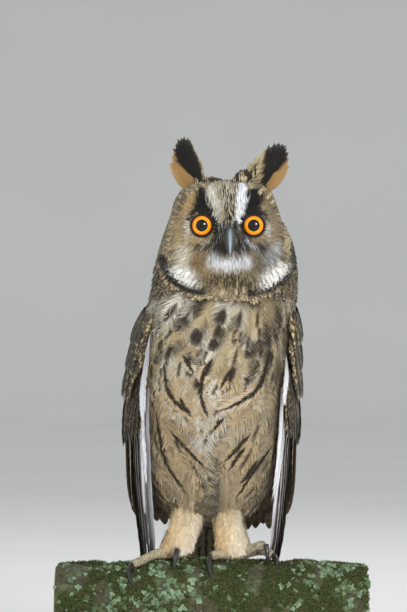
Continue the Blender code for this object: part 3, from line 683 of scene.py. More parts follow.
Cut = tuple[float, float, float, float, float, float]
BODY_CUTS: tuple[Cut, ...] = (
    (0.0280, -0.0020, 0.0230, 0.0140, 0.0100, 0.0200),
    (0.0380, -0.0010, 0.0190, 0.0330, 0.0230, 0.0340),
    (0.0500, -0.0010, 0.0140, 0.0460, 0.0340, 0.0410),
    (0.0670, 0.0000, 0.0100, 0.0560, 0.0440, 0.0460),
    (0.0900, 0.0000, 0.0070, 0.0620, 0.0510, 0.0490),
    (0.1200, 0.0005, 0.0040, 0.0650, 0.0540, 0.0510),
    (0.1500, 0.0015, 0.0020, 0.0655, 0.0550, 0.0520),
    (0.1800, 0.0040, 0.0010, 0.0650, 0.0540, 0.0520),
    (0.2050, 0.0070, 0.0010, 0.0635, 0.0505, 0.0500),
    (0.2280, 0.0113, 0.0010, 0.0615, 0.0460, 0.0475),
    (0.2410, 0.0120, 0.0000, 0.0605, 0.0450, 0.0465),
    (0.2540, 0.0130, -0.0010, 0.0580, 0.0440, 0.0455),
    (0.2670, 0.0132, -0.0010, 0.0545, 0.0430, 0.0445),
    (0.2780, 0.0125, -0.0010, 0.0500, 0.0420, 0.0435),
    (0.2880, 0.0120, -0.0010, 0.0458, 0.0400, 0.0420),
    (0.3000, 0.0118, -0.0010, 0.0422, 0.0365, 0.0390),
    (0.3080, 0.0125, -0.0010, 0.0378, 0.0305, 0.0340),
    (0.3130, 0.0130, -0.0010, 0.0310, 0.0230, 0.0265),
    (0.3160, 0.0130, -0.0010, 0.0180, 0.0120, 0.0150),
)
MANTLE_CUTS: tuple[Cut, ...] = (
    (-0.0660, -0.0010, 0.0505, 0.0450, 0.0070, 0.0260),
    (-0.0420, -0.0010, 0.0470, 0.0485, 0.0085, 0.0300),
    (-0.0200, -0.0010, 0.0425, 0.0510, 0.0100, 0.0330),
    (0.0000, -0.0010, 0.0320, 0.0535, 0.0160, 0.0370),
    (0.0200, 0.0000, 0.0190, 0.0560, 0.0260, 0.0430),
    (0.0460, 0.0000, 0.0130, 0.0590, 0.0370, 0.0460),
    (0.0670, 0.0000, 0.0100, 0.0612, 0.0450, 0.0480),
    (0.0900, 0.0000, 0.0070, 0.0627, 0.0515, 0.0495),
) + BODY_CUTS[5:]
FACE_CENTRE = 0.0138
EYE_SPREAD = 0.0215
EYE_HEIGHT = 0.2800
EYE_DEPTH = -0.0300


def eye_gap(points: Array) -> Array:
    """How far places are from the nearer eye, seen from the front."""
    across = np.abs(np.abs(points[:, 0] - FACE_CENTRE) - EYE_SPREAD)
    return np.hypot(across, points[:, 2] - EYE_HEIGHT)


@dataclass
class Envelope:
    """An outline of level cuts, read smoothly at any height."""

    cuts: tuple[Cut, ...]
    power: float = 2.25
    table: Array = field(init=False)

    def __post_init__(self) -> None:
        """Fills a fine table from the cuts, on a curve that doesn't overshoot them."""
        rows = np.array(self.cuts)
        heights, sizes = rows[:, 0], rows[:, 1:]
        steps = np.diff(heights)[:, None]
        slopes = np.diff(sizes, axis=0) / steps
        tangents = np.zeros_like(sizes)
        same_way = slopes[:-1] * slopes[1:] > 0
        total = np.where(same_way, slopes[:-1] + slopes[1:], 1.0)
        tangents[1:-1] = np.where(same_way, 2 * slopes[:-1] * slopes[1:] / total, 0.0)
        tangents[0], tangents[-1] = slopes[0], slopes[-1]
        fine = np.linspace(heights[0], heights[-1], 800)
        i = np.clip(np.searchsorted(heights, fine) - 1, 0, len(steps) - 1)
        step = steps[i]
        t = (fine - heights[i])[:, None] / step
        smooth = (
            (1 + 2 * t) * (1 - t) ** 2 * sizes[i]
            + t * (1 - t) ** 2 * step * tangents[i]
            + t * t * (3 - 2 * t) * sizes[i + 1]
            + t * t * (t - 1) * step * tangents[i + 1]
        )
        self.table = np.column_stack([fine, smooth])

    def sizes(self, height: Array) -> list[Array]:
        """The centre, half width and depths at some heights."""
        return [np.interp(height, self.table[:, 0], self.table[:, k]) for k in range(1, 6)]

    def point(self, degrees: Array, height: Array, out: Array | float = 0.0) -> Array:
        """Places on the outline.

        Args:
            degrees: Turns round it, with 0 in front and 90 at the owl's left.
            height: Heights above the perch.
            out: How far the places are moved out.

        Returns:
            The places.
        """
        x, y, half, front, back = self.sizes(height)
        sine, cosine = np.sin(np.radians(degrees)), np.cos(np.radians(degrees))
        depth = np.where(cosine > 0, front, back)
        reach = (np.abs(sine) ** self.power + np.abs(cosine) ** self.power) ** (-1 / self.power)
        across, ahead = (half + out) * sine * reach, (depth + out) * cosine * reach
        return np.stack([x + across, y - ahead, np.broadcast_to(height, across.shape)], axis=-1)


@dataclass
class FaceForm:
    """The dishes round the eyes, the ruff and the ridge of the brows, as in the solids."""

    disc_half_width: float = 0.0480
    disc_half_height: float = 0.0450
    disc_height: float = 0.2710
    ruff: tuple[float, float, float] = (0.0045, 0.95, 0.16)
    bumps: tuple[tuple[float, float, float, float, float], ...] = (
        (-0.0040, -EYE_SPREAD, 0.0, 0.0140, 0.0160),
        (-0.0040, EYE_SPREAD, 0.0, 0.0140, 0.0160),
        (0.0040, 0.0, 0.0040, 0.0090, 0.0300),
        (0.0030, 0.0, -0.0280, 0.0200, 0.0130),
    )
    turn: float = 1.6

    def rim(self, x: Array, z: Array) -> Array:
        """How far out towards the disc's rim places are, with 1 on it."""
        across, up = x - FACE_CENTRE, z - self.disc_height
        return np.hypot(across / self.disc_half_width, up / self.disc_half_height)

    def lift(self, points: Array, degrees: Array) -> Array:
        """Moves places on the head forward to the face's form.

        Args:
            points: The places.
            degrees: Their turns round the head.

        Returns:
            The moved places.
        """
        facing = np.clip(np.cos(np.radians(degrees)), 0, None)
        across, up = points[..., 0] - FACE_CENTRE, points[..., 2] - EYE_HEIGHT
        height, place, spread = self.ruff
        forward = height * np.exp(-(((self.rim(points[..., 0], points[..., 2]) - place) / spread) ** 2))
        for height, x, z, width, tall in self.bumps:
            forward = forward + height * np.exp(-(((across - x) / width) ** 2) - ((up - z) / tall) ** 2)
        moved = points.copy()
        moved[..., 1] -= forward * np.minimum(1.0, facing * self.turn)
        return moved


class Surface:
    """A closed surface that a coat is laid on."""

    tries = 9
    spare = 8

    def __init__(self, points: Array, faces: Array) -> None:
        """Keeps the surface, with the tree that finds its nearest places.

        Args:
            points: Its corners.
            faces: Its triangles.
        """
        self.points, self.faces = points, faces
        self.tree = BVHTree.FromPolygons(points.tolist(), faces.tolist())

    def nearest(self, points: Array) -> tuple[Array, Array]:
        """The surface's nearest places and outward directions.

        Args:
            points: Places near the surface.

        Returns:
            The places on it, and its directions there.
        """
        found = [self.tree.find_nearest(Vector(p))[:2] for p in points]
        return np.array([f[0] for f in found]), np.array([f[1] for f in found])

    def _areas(self, keep: Callable[[Array], Array]) -> tuple[Array, Array]:
        """The triangles' corners, and their areas on the part of the surface that keep chooses.

        Args:
            keep: Tells which places are on that part.

        Returns:
            The corners and the areas, which are 0 elsewhere.
        """
        corners = self.points[self.faces]
        sides = np.cross(corners[:, 1] - corners[:, 0], corners[:, 2] - corners[:, 0])
        return corners, np.linalg.norm(sides, axis=-1) / 2 * keep(corners.mean(axis=1))

    def pick(self, count: int, keep: Callable[[Array], Array], draw: np.random.Generator) -> Array:
        """Random places on the part of the surface that keep chooses.

        Args:
            count: How many.
            keep: Tells which places are on that part.
            draw: The random source.

        Returns:
            The places.
        """
        corners, areas = self._areas(keep)
        chosen = corners[draw.choice(len(areas), count, p=areas / areas.sum())]
        a, b = np.sqrt(draw.random((count, 1))), draw.random((count, 1))
        return chosen[:, 0] * (1 - a) + chosen[:, 1] * a * (1 - b) + chosen[:, 2] * a * b

    def scatter(self, spacing: float, keep: Callable[[Array], Array], draw: np.random.Generator) -> Array:
        """Evenly spread places on the part of the surface that keep chooses.

        Args:
            spacing: How far apart they are at least.
            keep: Tells which places are on that part.
            draw: The random source.

        Returns:
            The places.
        """
        area = self._areas(keep)[1].sum()
        taken: dict[tuple[int, ...], list[Array]] = {}
        found = []
        for place in self.pick(int(area / spacing**2 * self.tries) + self.spare, keep, draw):
            cell = np.floor(place / spacing).astype(int)
            near = [
                other
                for i in (-1, 0, 1)
                for j in (-1, 0, 1)
                for k in (-1, 0, 1)
                for other in taken.get((cell[0] + i, cell[1] + j, cell[2] + k), ())
            ]
            if near and np.linalg.norm(np.array(near) - place, axis=-1).min() < spacing:
                continue
            taken.setdefault(tuple(cell), []).append(place)
            found.append(place)
        return np.array(found)


class Hide(Surface):
    """The owl's bare form from the vent over the crown, inside its coat."""

    depth = 0.0042
    columns = 176
    dome_rows = 8
    lid_plane = -0.0362
    lid_reach = (0.0165, 0.0105)
    head_from = 0.225
    body_rows = 100
    head_rows = 80
    face_back = -0.007
    far_off = 9.0
    middle = 0.006

    def __init__(self, envelope: Envelope, face: FaceForm) -> None:
        """Builds level rings, closer on the head, closed by a small dome at each end.

        Args:
            envelope: The body's outline.
            face: The face's form.
        """
        self.envelope, self.face = envelope, face
        low, high = envelope.cuts[0][0] + self.depth, envelope.cuts[-1][0] - self.depth
        below = np.linspace(low, self.head_from, self.body_rows, endpoint=False)
        heights = np.concatenate([below, np.linspace(self.head_from, high, self.head_rows)])
        degrees = np.linspace(0, 360, self.columns, endpoint=False)
        rings = []
        for height in heights:
            ring = envelope.point(degrees, np.full(self.columns, height), -self.depth)
            rings.append(self._lidded(face.lift(ring, degrees)))
        rings = self._dome(rings[0], -1)[::-1] + rings + self._dome(rings[-1], 1)
        super().__init__(np.concatenate(rings), grid_faces(len(rings), self.columns, closed=True))

    def _lidded(self, ring: Array) -> Array:
        """Brings the face out to the lids round each eye.

        Args:
            ring: A ring of places, which is changed.

        Returns:
            The ring.
        """
        share = ease(*self.lid_reach, eye_gap(ring)) * (ring[:, 1] < 0)
        ring[:, 1] += (self.lid_plane - ring[:, 1]) * share
        return ring

    def _dome(self, ring: Array, way: int) -> list[Array]:
        """Rings that close an end, up or down by a small height.

        Args:
            ring: The ring at the end.
            way: 1 at the upper end, -1 at the lower one.

        Returns:
            The rings.
        """
        middle = ring.mean(axis=0)
        made = []
        for k in range(1, self.dome_rows + 1):
            turn = math.pi / 2 * k / self.dome_rows
            inner = middle + (ring - middle) * max(math.cos(turn), 0.01)
            made.append(inner + np.array((0, 0, way * self.depth * 0.8 * math.sin(turn))))
        return made

    def unwrap(self, points: Array) -> Array:
        """Places on the unwrap: the turn round the body, and the height.

        Args:
            points: The places.

        Returns:
            Their places on the unwrap.
        """
        around = np.degrees(np.arctan2(points[..., 0] - self.middle, -points[..., 1])) % 360 / 360
        low, high = self.points[:, 2].min(), self.points[:, 2].max()
        return np.stack([around, np.clip((points[..., 2] - low) / (high - low), 0, 1)], axis=-1)

    def rim(self, points: Array) -> Array:
        """How far out towards the rim of the disc places are, with those behind it far off."""
        return self.face.rim(points[:, 0], points[:, 2]) + self.far_off * (points[:, 1] > self.face_back)


Flow = Callable[[Array, Array], Array]


@dataclass
class Combed:
    """Feathers' middle lines, laid along a surface."""

    points: Array
    normals: Array

    @classmethod
    def lay(cls, hide: Surface, roots: Array, flow: Flow, lengths: Array, steps: int = 5) -> Combed:
        """Draws a line from each root along the skin, turning with the flow.

        Args:
            hide: The surface.
            roots: Where the lines start.
            flow: Gives each place's direction.
            lengths: How long the lines are.
            steps: How many steps each is drawn in.

        Returns:
            The lines.
        """
        place, normal = hide.nearest(roots)
        points, normals = [place], [normal]
        for _ in range(steps):
            way = flow(place, normal)
            way = unit(way - (way * normal).sum(-1, keepdims=True) * normal)
            place, normal = hide.nearest(place + way * (lengths / steps)[:, None])
            points.append(place)
            normals.append(normal)
        return cls(np.stack(points, axis=1), np.stack(normals, axis=1))

    def read(self, index: Array, along: Array) -> tuple[Array, Array, Array]:
        """Reads places on the lines.

        Args:
            index: Which line each is on.
            along: How far down it, from 0 to 1 or a little past.

        Returns:
            The places, the outward directions and the directions across.
        """
        last = self.points.shape[1] - 1
        whole = np.clip((along * last).astype(int), 0, last - 1)
        share = (along * last - whole)[..., None]
        start, end = self.points[index, whole], self.points[index, whole + 1]
        normal = unit(self.normals[index, whole] * (1 - share) + self.normals[index, whole + 1] * share)
        across = unit(np.cross(unit(end - start), normal))
        return start + (end - start) * share, normal, across


def blade_faces(count: int) -> Array:
    """Triangles of separate blades with five corners each."""
    corner = np.arange(count)[:, None] * 5
    return np.concatenate([corner + (0, 1, 2), corner + (0, 2, 3), corner + (3, 2, 4)])


def spread(places: Array, reach: Array, along: Array, size: float) -> Array:
    """Places on the unwrap round each feather's own one, over a patch of some size."""
    return places + np.stack([reach, along * 2 - 1], -1) * size / 2


@dataclass(frozen=True)
class FeatherKind:
    """The make of one kind of contour feather: barbs in two rows on a shaft."""

    half: float
    barbs: int = 16
    sweep: float = 0.30
    lift: float = 0.0042
    ragged: float = 0.10
    fluff: float = 0.0006
    broadest: float = 0.50
    patch: float = 0.0030

    def outline(self, along: Array) -> Array:
        """The share of the full half width at places along the shaft.

        Args:
            along: Places from 0 at the root to 1 at the tip.

        Returns:
            The shares.
        """
        rise = np.clip(along / 0.30, 0, 1) ** 0.7
        past = np.clip(along - self.broadest, 0, None) / (1.02 - self.broadest)
        return rise * np.sqrt(np.clip(1 - past**2, 0, 1))

    def grow(self, lines: Combed, tint: Array, marks: Array, places: Array, draw: np.random.Generator,
             work: Patchwork, slopes: Array | float = 0.0, ahead: int = 1) -> None:
        """Adds a feather on each line.

        Args:
            lines: The shafts.
            tint: A colour a feather.
            marks: Streak share, bar strength and speckle a feather.
            places: Each root's place on the unwrap.
            draw: The random source.
            work: Where the triangles go.
            slopes: How far each feather's leading edge stands above the other one.
            ahead: Which way across the leading edge is.
        """
        slopes = np.broadcast_to(slopes, len(lines.points))
        count = len(lines.points)
        barb = np.arange(self.barbs)
        shape = (count, 2, self.barbs)
        start = (barb + 0.3) / self.barbs * 0.93 + draw.uniform(-0.4, 0.4, shape) / self.barbs
        size = draw.uniform(0.85, 1.15, (count, 1, 1))
        end = start + self.sweep * (0.45 + 0.55 * (1 - start)) * draw.uniform(0.8, 1.2, shape)
        end = np.minimum(end, 1.0 + draw.uniform(-0.03, 0.05, shape))
        side = np.array((-1.0, 1.0))[None, :, None]
        wide = self.outline(start * 0.45 + end * 0.55) * draw.uniform(1 - self.ragged, 1 + self.ragged, shape)
        broad = 1.5 / self.barbs
        middle = (start + end) / 2
        edges = [start - broad / 2, start + broad / 2, middle + broad * 0.55, middle - broad * 0.4, end]
        along = np.stack(edges, -1)
        flat = np.zeros(shape)
        reach = np.stack([flat, flat, wide * 0.55, wide * 0.60, wide], -1) * side[..., None]
        index = np.broadcast_to(np.arange(count)[:, None, None, None], along.shape)
        centre, normal, across = lines.read(index.ravel(), along.ravel())
        flat_reach, flat_along = reach.ravel(), along.ravel()
        half = (self.half * size * np.ones(shape))[..., None] * np.ones(5)
        rise = self.lift * (1 - (1 - np.clip(flat_along, 0, 1)) ** 2)
        jitter = (draw.normal(0, self.fluff, shape)[..., None] * np.array((0, 0, 0.5, 0.5, 1.0))).ravel()
        curl = -0.10 * self.half * flat_reach**2
        points = centre + across * (flat_reach * half.ravel())[:, None]
        slope = slopes[index.ravel()] * (1 + ahead * flat_reach) / 2
        points += normal * (rise + jitter + curl + slope)[:, None]
        faces = blade_faces(count * 2 * self.barbs)
        fates = draw.random(count)[index.ravel()]
        vane = np.stack([flat_reach, flat_along, fates], -1)
        spot = spread(places[index.ravel()], flat_reach, flat_along, self.patch)
        shade = tint[index.ravel()] * draw.uniform(0.93, 1.07, shape).repeat(5, -1).ravel()[:, None]
        work.add(points, faces, shade, vane, marks[index.ravel()], spot)


@dataclass(frozen=True)
class HairKind:
    """Short, hair-like tufts: one narrow blade each."""

    half: float = 0.0005
    lift: float = 0.0030
    fluff: float = 0.0005
    patch: float = 0.0030

    def grow(self, lines: Combed, colour: Callable[[Array, Array], Array], places: Array,
             draw: np.random.Generator, work: Patchwork, raised: Array | float = 1.0) -> None:
        """Adds a tuft on each line.

        Args:
            lines: The tufts' middle lines.
            colour: Gives the colours at places, from the places and a random value each.
            places: Each root's place on the unwrap.
            draw: The random source.
            work: Where the triangles go.
            raised: The share of the full lift that each tuft has.
        """
        count = len(lines.points)
        raised = np.broadcast_to(raised, count)
        along = np.broadcast_to(np.array((0.0, 0.0, 0.5, 0.5, 1.0)), (count, 5))
        reach = np.broadcast_to(np.array((-0.8, 0.8, 1.0, -1.0, 0.0)), (count, 5))
        index = np.broadcast_to(np.arange(count)[:, None], (count, 5)).ravel()
        centre, normal, across = lines.read(index, along.ravel())
        half = self.half * draw.uniform(0.7, 1.4, count)[index]
        rise = self.lift * along.ravel() ** 0.8 * (draw.uniform(0.75, 1.15, count) * raised)[index]
        rise += draw.normal(0, self.fluff, count)[index] * along.ravel()
        points = centre + across * (reach.ravel() * half)[:, None] + normal * rise[:, None]
        fates = draw.random(count)[index]
        tints = colour(points, fates)
        vane = np.stack([reach.ravel() * 0.6, along.ravel() * 0.6 + 0.3, fates], -1)
        spot = spread(places[index], reach.ravel(), along.ravel(), self.patch)
        work.add(points, blade_faces(count), tints, vane, np.zeros(3), spot)


@dataclass(frozen=True)
class VaneKind:
    """The make of a stiff flight feather: one closed vane on a raised shaft."""

    half: float
    columns: int = 9
    rows: int = 22
    root: float = 0.30
    tip: float = 0.25
    widest: float = 0.6
    patch: float = 0.0040

    def outline(self, along: Array) -> Array:
        """The share of the full half width at places along the shaft.

        Args:
            along: Places from 0 at the root to 1 at the tip.

        Returns:
            The shares.
        """
        rise = self.root + (1 - self.root) * np.sin(math.pi / 2 * np.minimum(along / self.widest, 1))
        turn = np.clip((along - self.widest) / (1 - self.widest), 0, 1)
        return np.where(along < self.widest, rise, np.sqrt(np.clip(1 - turn**2.6 * (1 - self.tip**2), 0, 1)))

    def grow(self, lines: Combed, tint: Array, marks: Array, places: Array, draw: np.random.Generator,
             work: Patchwork, slopes: Array | float = 0.0, ahead: int = 1) -> None:
        """Adds a feather on each line.

        Args:
            lines: The shafts.
            tint: A colour a feather.
            marks: Streak share, bar strength and speckle a feather.
            places: Each root's place on the unwrap.
            draw: The random source.
            work: Where the triangles go.
            slopes: How far each feather's leading edge stands above the other one.
            ahead: Which way across the leading edge is.
        """
        count = len(lines.points)
        slopes = np.broadcast_to(slopes, count)
        along = np.linspace(0, 1, self.rows)[:, None] * np.ones(self.columns)
        across = np.ones((self.rows, 1)) * np.linspace(-1, 1, self.columns)
        rounded = along - 0.035 * across**2 * ease(0.6, 1.0, along)
        shape = (count, self.rows, self.columns)
        index = np.broadcast_to(np.arange(count)[:, None, None], shape).ravel()
        flat_along, flat_reach = (np.broadcast_to(v, shape).ravel() for v in (rounded, across))
        centre, normal, sideways = lines.read(index, np.clip(flat_along, 0, 1))
        width = self.half * np.broadcast_to(self.outline(along), shape).ravel()
        wave = 0.00018 * np.sin(flat_along * 70 + index * 2.1) * np.abs(flat_reach) ** 2
        shaft = 0.0004 * np.exp(-((flat_reach / 0.12) ** 2)) - 0.0006 * flat_reach**2
        slope = slopes[index] * (1 + ahead * flat_reach) / 2
        points = centre + sideways * (flat_reach * width)[:, None] + normal * (wave + shaft + slope)[:, None]
        single = grid_faces(self.rows, self.columns)
        faces = (np.arange(count)[:, None, None] * self.rows * self.columns + single).reshape(-1, 3)
        fates = draw.random(count)[index]
        vane = np.stack([flat_reach, flat_along, fates], -1)
        spot = spread(places[index], flat_reach, flat_along, self.patch)
        work.add(points, faces, tint[index], vane, marks[index], spot)


# The lie and the markings of the coat


@dataclass(frozen=True)
class Lie:
    """Which way the coat runs. Each lean is a place across and up in mm, and degrees off straight down."""

    leans: tuple[tuple[float, float, float], ...] = (
        (-21.8, 210.0, -35),
        (-30.2, 194.9, -40),
        (-5.0, 189.0, -25),
        (5.9, 193.2, -15),
        (24.4, 197.4, -15),
        (42.8, 189.0, -5),
        (58.0, 193.2, 0),
        (-5.0, 159.6, -25),
        (-4.2, 121.8, 5),
        (-36.1, 159.6, 0),
        (-36.1, 138.6, 15),
        (-26.0, 124.3, 45),
        (37.0, 155.4, -15),
        (32.8, 138.6, -35),
        (16.0, 127.7, -65),
        (-42.8, 134.4, 5),
        (-40.3, 109.2, 5),
        (-26.0, 109.2, 30),
        (7.6, 117.6, -50),
        (24.4, 100.8, -30),
        (45.4, 117.6, -5),
        (-26.0, 70.0, 30),
        (32.8, 71.0, -30),
        (0.0, 45.0, 0),
    )
    reach: float = 13.0

    def body(self, places: Array, normals: Array) -> Array:
        """The coat's direction on the body.

        Args:
            places: Places on the surface.
            normals: The surface's directions there.

        Returns:
            The directions.
        """
        table = np.array(self.leans)
        gap = ((places[:, None, (0, 2)] * 1000 - table[None, :, :2]) ** 2).sum(-1)
        weight = np.exp(-gap / (2 * self.reach**2)) + 1e-5
        lean = (weight * table[:, 2]).sum(-1) / weight.sum(-1) * np.clip(-normals[:, 1] * 1.6, 0, 1)
        turn = np.radians(lean)
        return np.stack([np.sin(turn), np.zeros_like(turn), -np.cos(turn)], -1)

    def face(self, places: Array, normals: Array) -> Array:
        """The coat's direction on the disc, outward from both eyes.

        Args:
            places: Places on the surface.
            normals: The surface's directions there; not used.

        Returns:
            The directions.
        """
        way = np.zeros_like(places)
        for side in Side:
            across = places[:, 0] - FACE_CENTRE - side.value * EYE_SPREAD
            up = places[:, 2] - EYE_HEIGHT
            far = across**2 + up**2 + 1e-7
            way[:, 0] += across / far
            way[:, 2] += up / far
        return unit(way)

    def head(self, places: Array, normals: Array) -> Array:
        """The coat's direction round the disc: outward, then back and down into the body's.

        Args:
            places: Places on the surface.
            normals: The surface's directions there.

        Returns:
            The directions.
        """
        across = (places[:, 0] - FACE_CENTRE) / FaceForm.disc_half_width
        up = (places[:, 2] - FaceForm.disc_height) / FaceForm.disc_half_height
        still = np.zeros(len(places))
        behind = ease(-0.025, 0.025, places[:, 1])
        way = unit(np.stack([across, still, up], -1)) + np.stack([still, still + 0.9, -2.2 * behind], -1)
        share = ease(0.228, 0.262, places[:, 2])[:, None]
        return self.body(places, normals) * (1 - share) + unit(way) * share


Spot = tuple[Colour, float, tuple[float, float], float, float, float]
Stroke = tuple[Colour, float, tuple[tuple[float, float, float], ...]]


@dataclass(frozen=True)
class FaceMarks:
    """The face's colours. Places are mm across and above the middle between the eyes.

    Each spot is a colour, its strength, its middle, half width, half height and turn, and each stroke a
    colour, its strength and its line, with a half width at each corner. They are laid in order.
    """

    disc: Colour = tone(164, 144, 108)
    disc_shaded: Colour = tone(146, 132, 106)
    rim: Colour = tone(34, 28, 22)
    before: tuple[Spot, ...] = (
        (tone(214, 208, 190), 0.9, (-37.5, -26.0), 8, 11, 0),
        (tone(158, 160, 160), 0.85, (35.0, -27.0), 9, 11, 0),
        (tone(206, 212, 218), 0.8, (42.5, -20.0), 3.0, 7, 0),
        (tone(220, 214, 198), 0.85, (-33.5, -1.0), 2.8, 11, 0),
        (tone(198, 198, 190), 0.8, (34.0, -1.0), 2.6, 11, 0),
        (tone(186, 154, 104), 0.8, (-34.5, 19.0), 8, 11, 20),
        (tone(126, 108, 82), 0.8, (38.0, 13.0), 6, 13, -15),
        (tone(86, 66, 46), 0.7, (31.5, 27.0), 5, 8, -20),
        (tone(128, 104, 72), 0.7, (-25.0, -31.0), 8, 8, 0),
        (tone(108, 96, 78), 0.7, (25.0, -32.0), 8, 8, 0),
        (tone(52, 44, 36), 0.9, (-23.0, -18.0), 8, 4.2, -10),
        (tone(46, 40, 34), 0.9, (28.0, -19.0), 6.5, 5.5, 10),
        (tone(34, 32, 30), 0.95, (-10.5, -15.0), 8.0, 9, -20),
        (tone(34, 32, 30), 0.95, (13.5, -15.0), 8.0, 9.5, 20),
        (tone(150, 152, 152), 0.8, (-10.0, -26.0), 5.0, 4.0, 0),
        (tone(40, 38, 36), 0.9, (-5.5, -20.5), 5.0, 7.0, 0),
        (tone(40, 38, 36), 0.9, (9.5, -20.5), 5.5, 7.0, 0),
        (tone(230, 234, 238), 1.0, (1.5, -32.5), 17, 5.6, 0),
        (tone(230, 234, 238), 0.8, (-12.0, -29.0), 6, 4.0, 40),
        (tone(230, 234, 238), 0.8, (15.5, -29.0), 6, 4.0, -40),
        (Tint.PALE, 0.85, (-18.0, -14.5), 7.0, 1.3, 40),
        (Tint.GREY, 0.8, (-14.0, -19.0), 6.0, 1.0, 50),
        (tone(206, 212, 222), 0.9, (19.5, -16.0), 7.0, 1.4, -45),
        (Tint.GREY, 0.8, (14.0, -20.0), 6.0, 1.0, -60),
        (tone(244, 244, 240), 1.0, (-34.0, -41.0), 13, 4.6, -32),
        (tone(244, 244, 240), 1.0, (36.3, -40.0), 14, 5.2, 40),
    )
    strokes: tuple[Stroke, ...] = (
        (Tint.SOOT, 1.0, ((-22.5, 38.0, 5.0), (-20.8, 24.3, 5.4), (-20.8, 15.0, 8.4))),
        (Tint.SOOT, 0.95, ((-33.0, 5.0, 1.4), (-30.0, 10.5, 2.2), (-24.0, 13.5, 3.4))),
        (Tint.SOOT, 1.0, ((-14.0, 9.5, 3.5), (-10.2, 2.0, 2.2), (-9.8, -6.0, 1.9))),
        (tone(48, 38, 28), 0.9, ((27.0, 40.0, 7.0), (26.5, 31.0, 7.0), (24.0, 22.0, 5.5))),
        (Tint.SOOT, 1.0, ((24.5, 38.0, 7.6), (23.5, 29.0, 7.2), (21.4, 21.0, 6.6), (19.6, 13.0, 8.0))),
        (Tint.SOOT, 0.95, ((33.0, 5.0, 1.4), (30.0, 10.5, 2.2), (24.0, 13.5, 3.4))),
        (Tint.SOOT, 1.0, ((13.5, 9.0, 3.2), (11.6, 1.0, 2.2), (11.6, -6.0, 1.9))),
        (tone(206, 204, 190), 1.0, (
            (-14.6, 35.0, 3.6), (-13.6, 29.0, 4.9), (-11.5, 20.9, 5.2), (-8.0, 12.3, 3.7),
            (-6.3, 3.7, 2.4), (-4.6, -2.0, 1.5))),
        (tone(240, 243, 248), 1.0, (
            (12.2, 35.0, 3.6), (12.0, 29.5, 4.6), (12.4, 22.6, 4.2), (10.0, 14.0, 3.7),
            (8.3, 5.4, 2.6), (7.5, -2.0, 1.6))),
    )
    wedge: tuple[tuple[float, float, float], ...] = (
        (-1.1, 42.0, 8.6),
        (-0.8, 31.0, 7.2),
        (0.6, 21.0, 5.0),
        (1.2, 12.0, 3.8),
        (1.7, 4.0, 3.2),
    )

    def tint(self, points: Array, fates: Array) -> Array:
        """The colours of the disc at some places.

        Args:
            points: The places.
            fates: A random value for each.

        Returns:
            The colours.
        """
        flat_x, flat_z = (points[:, 0] - FACE_CENTRE) * 1000, (points[:, 2] - EYE_HEIGHT) * 1000
        x = flat_x + (fates - 0.5) * 3.2 + ripple(points, 0.007, 4)
        z = flat_z + (fates * 7.31 % 1 - 0.5) * 3.2 + ripple(points, 0.007, 5)
        colour = blend(self.disc, self.disc_shaded, ease(-8, 20, x))
        for over, strength, at, wide, tall, turn in self.before:
            colour = blend(colour, over, blot(x, z, at, wide, tall, turn) * strength)
        for over, strength, line in self.strokes:
            colour = blend(colour, over, band(x, z, line) * strength)
        pepper = fates < np.interp(z, (6, 22), (0.85, 0.46))
        mottled = np.where(pepper[:, None], tone(44, 38, 30), tone(196, 188, 166))
        colour = blend(colour, mottled, band(x, z, self.wedge))
        low = np.where((fates * 3.1 % 1 < 0.62)[:, None], tone(50, 42, 32), tone(172, 152, 120))
        colour = blend(colour, low, blot(x, z, (1.0, -45.5), 26, 6.6) * ease(-37.0, -40.0, z))
        for side in Side:
            far = np.hypot(flat_x - side.value * EYE_SPREAD * 1000, flat_z) + (fates - 0.5) * 1.2
            colour = blend(colour, Tint.SOOT, 1 - ease(9.2, 10.6, far))
        rim = np.hypot(x / 48.0, (z + 9.0) / 45.0)
        line = np.exp(-(((rim - 0.985) / 0.035) ** 2)) * (0.30 + 0.7 * ease(5, -25, z)) * ease(32, 14, z)
        line = line * ease(-0.5, 0.4, ripple(points, 0.005, 3))
        colour = blend(colour, self.rim, line * (1 - blot(x, z, (-34.0, -41.0), 14, 6, -32)))
        streaky = np.where(fates * 13.7 % 1 < 0.14, 0.62, 1.0)
        return colour * ((0.78 + 0.42 * (fates * 5.3 % 1)) * streaky)[:, None]


@dataclass(frozen=True)
class RuffMarks:
    """The colours of the small feathers round the disc, in the same places as the face's."""

    ground: Colour = tone(186, 170, 136)
    dark: Colour = tone(26, 22, 18)
    white: Colour = tone(244, 244, 240)
    patches: tuple[tuple[tuple[float, float], float, float, float], ...] = (
        ((-34.0, -41.0), 4.6, 13.0, 58),
        ((36.3, -40.0), 5.2, 14.0, -50),
    )
    lines: tuple[tuple[tuple[float, float], ...], ...] = (
        ((-50.0, -28.0), (-44.0, -43.0), (-33.0, -50.5), (-20.0, -53.0)),
        ((18.0, -53.5), (30.0, -52.0), (43.5, -44.0), (51.0, -31.0), (52.0, -14.0)),
    )

    def tint(self, points: Array, fates: Array) -> Array:
        """The colours at some places, as FaceMarks.tint.

        Args:
            points: The places.
            fates: A random value for each.

        Returns:
            The colours.
        """
        x, z = (points[:, 0] - FACE_CENTRE) * 1000, (points[:, 2] - EYE_HEIGHT) * 1000
        mottled = ease(-0.05, 0.45, ripple(points, 0.006, 11) + (fates - 0.5) * 1.2)
        colour = blend(self.ground, self.dark, mottled * 0.62)
        low = np.where((fates < 0.75)[:, None], tone(58, 46, 34), tone(170, 156, 126))
        colour = blend(colour, low, blot(x, z, (4, -46), 25, 9) * 0.9)
        for line in self.lines:
            colour = blend(colour, self.dark, band(x, z, line, 3.6))
        for at, wide, tall, turn in self.patches:
            colour = blend(colour, self.white, blot(x, z, at, wide, tall, turn))
        return colour * (0.9 + 0.2 * fates)[:, None]


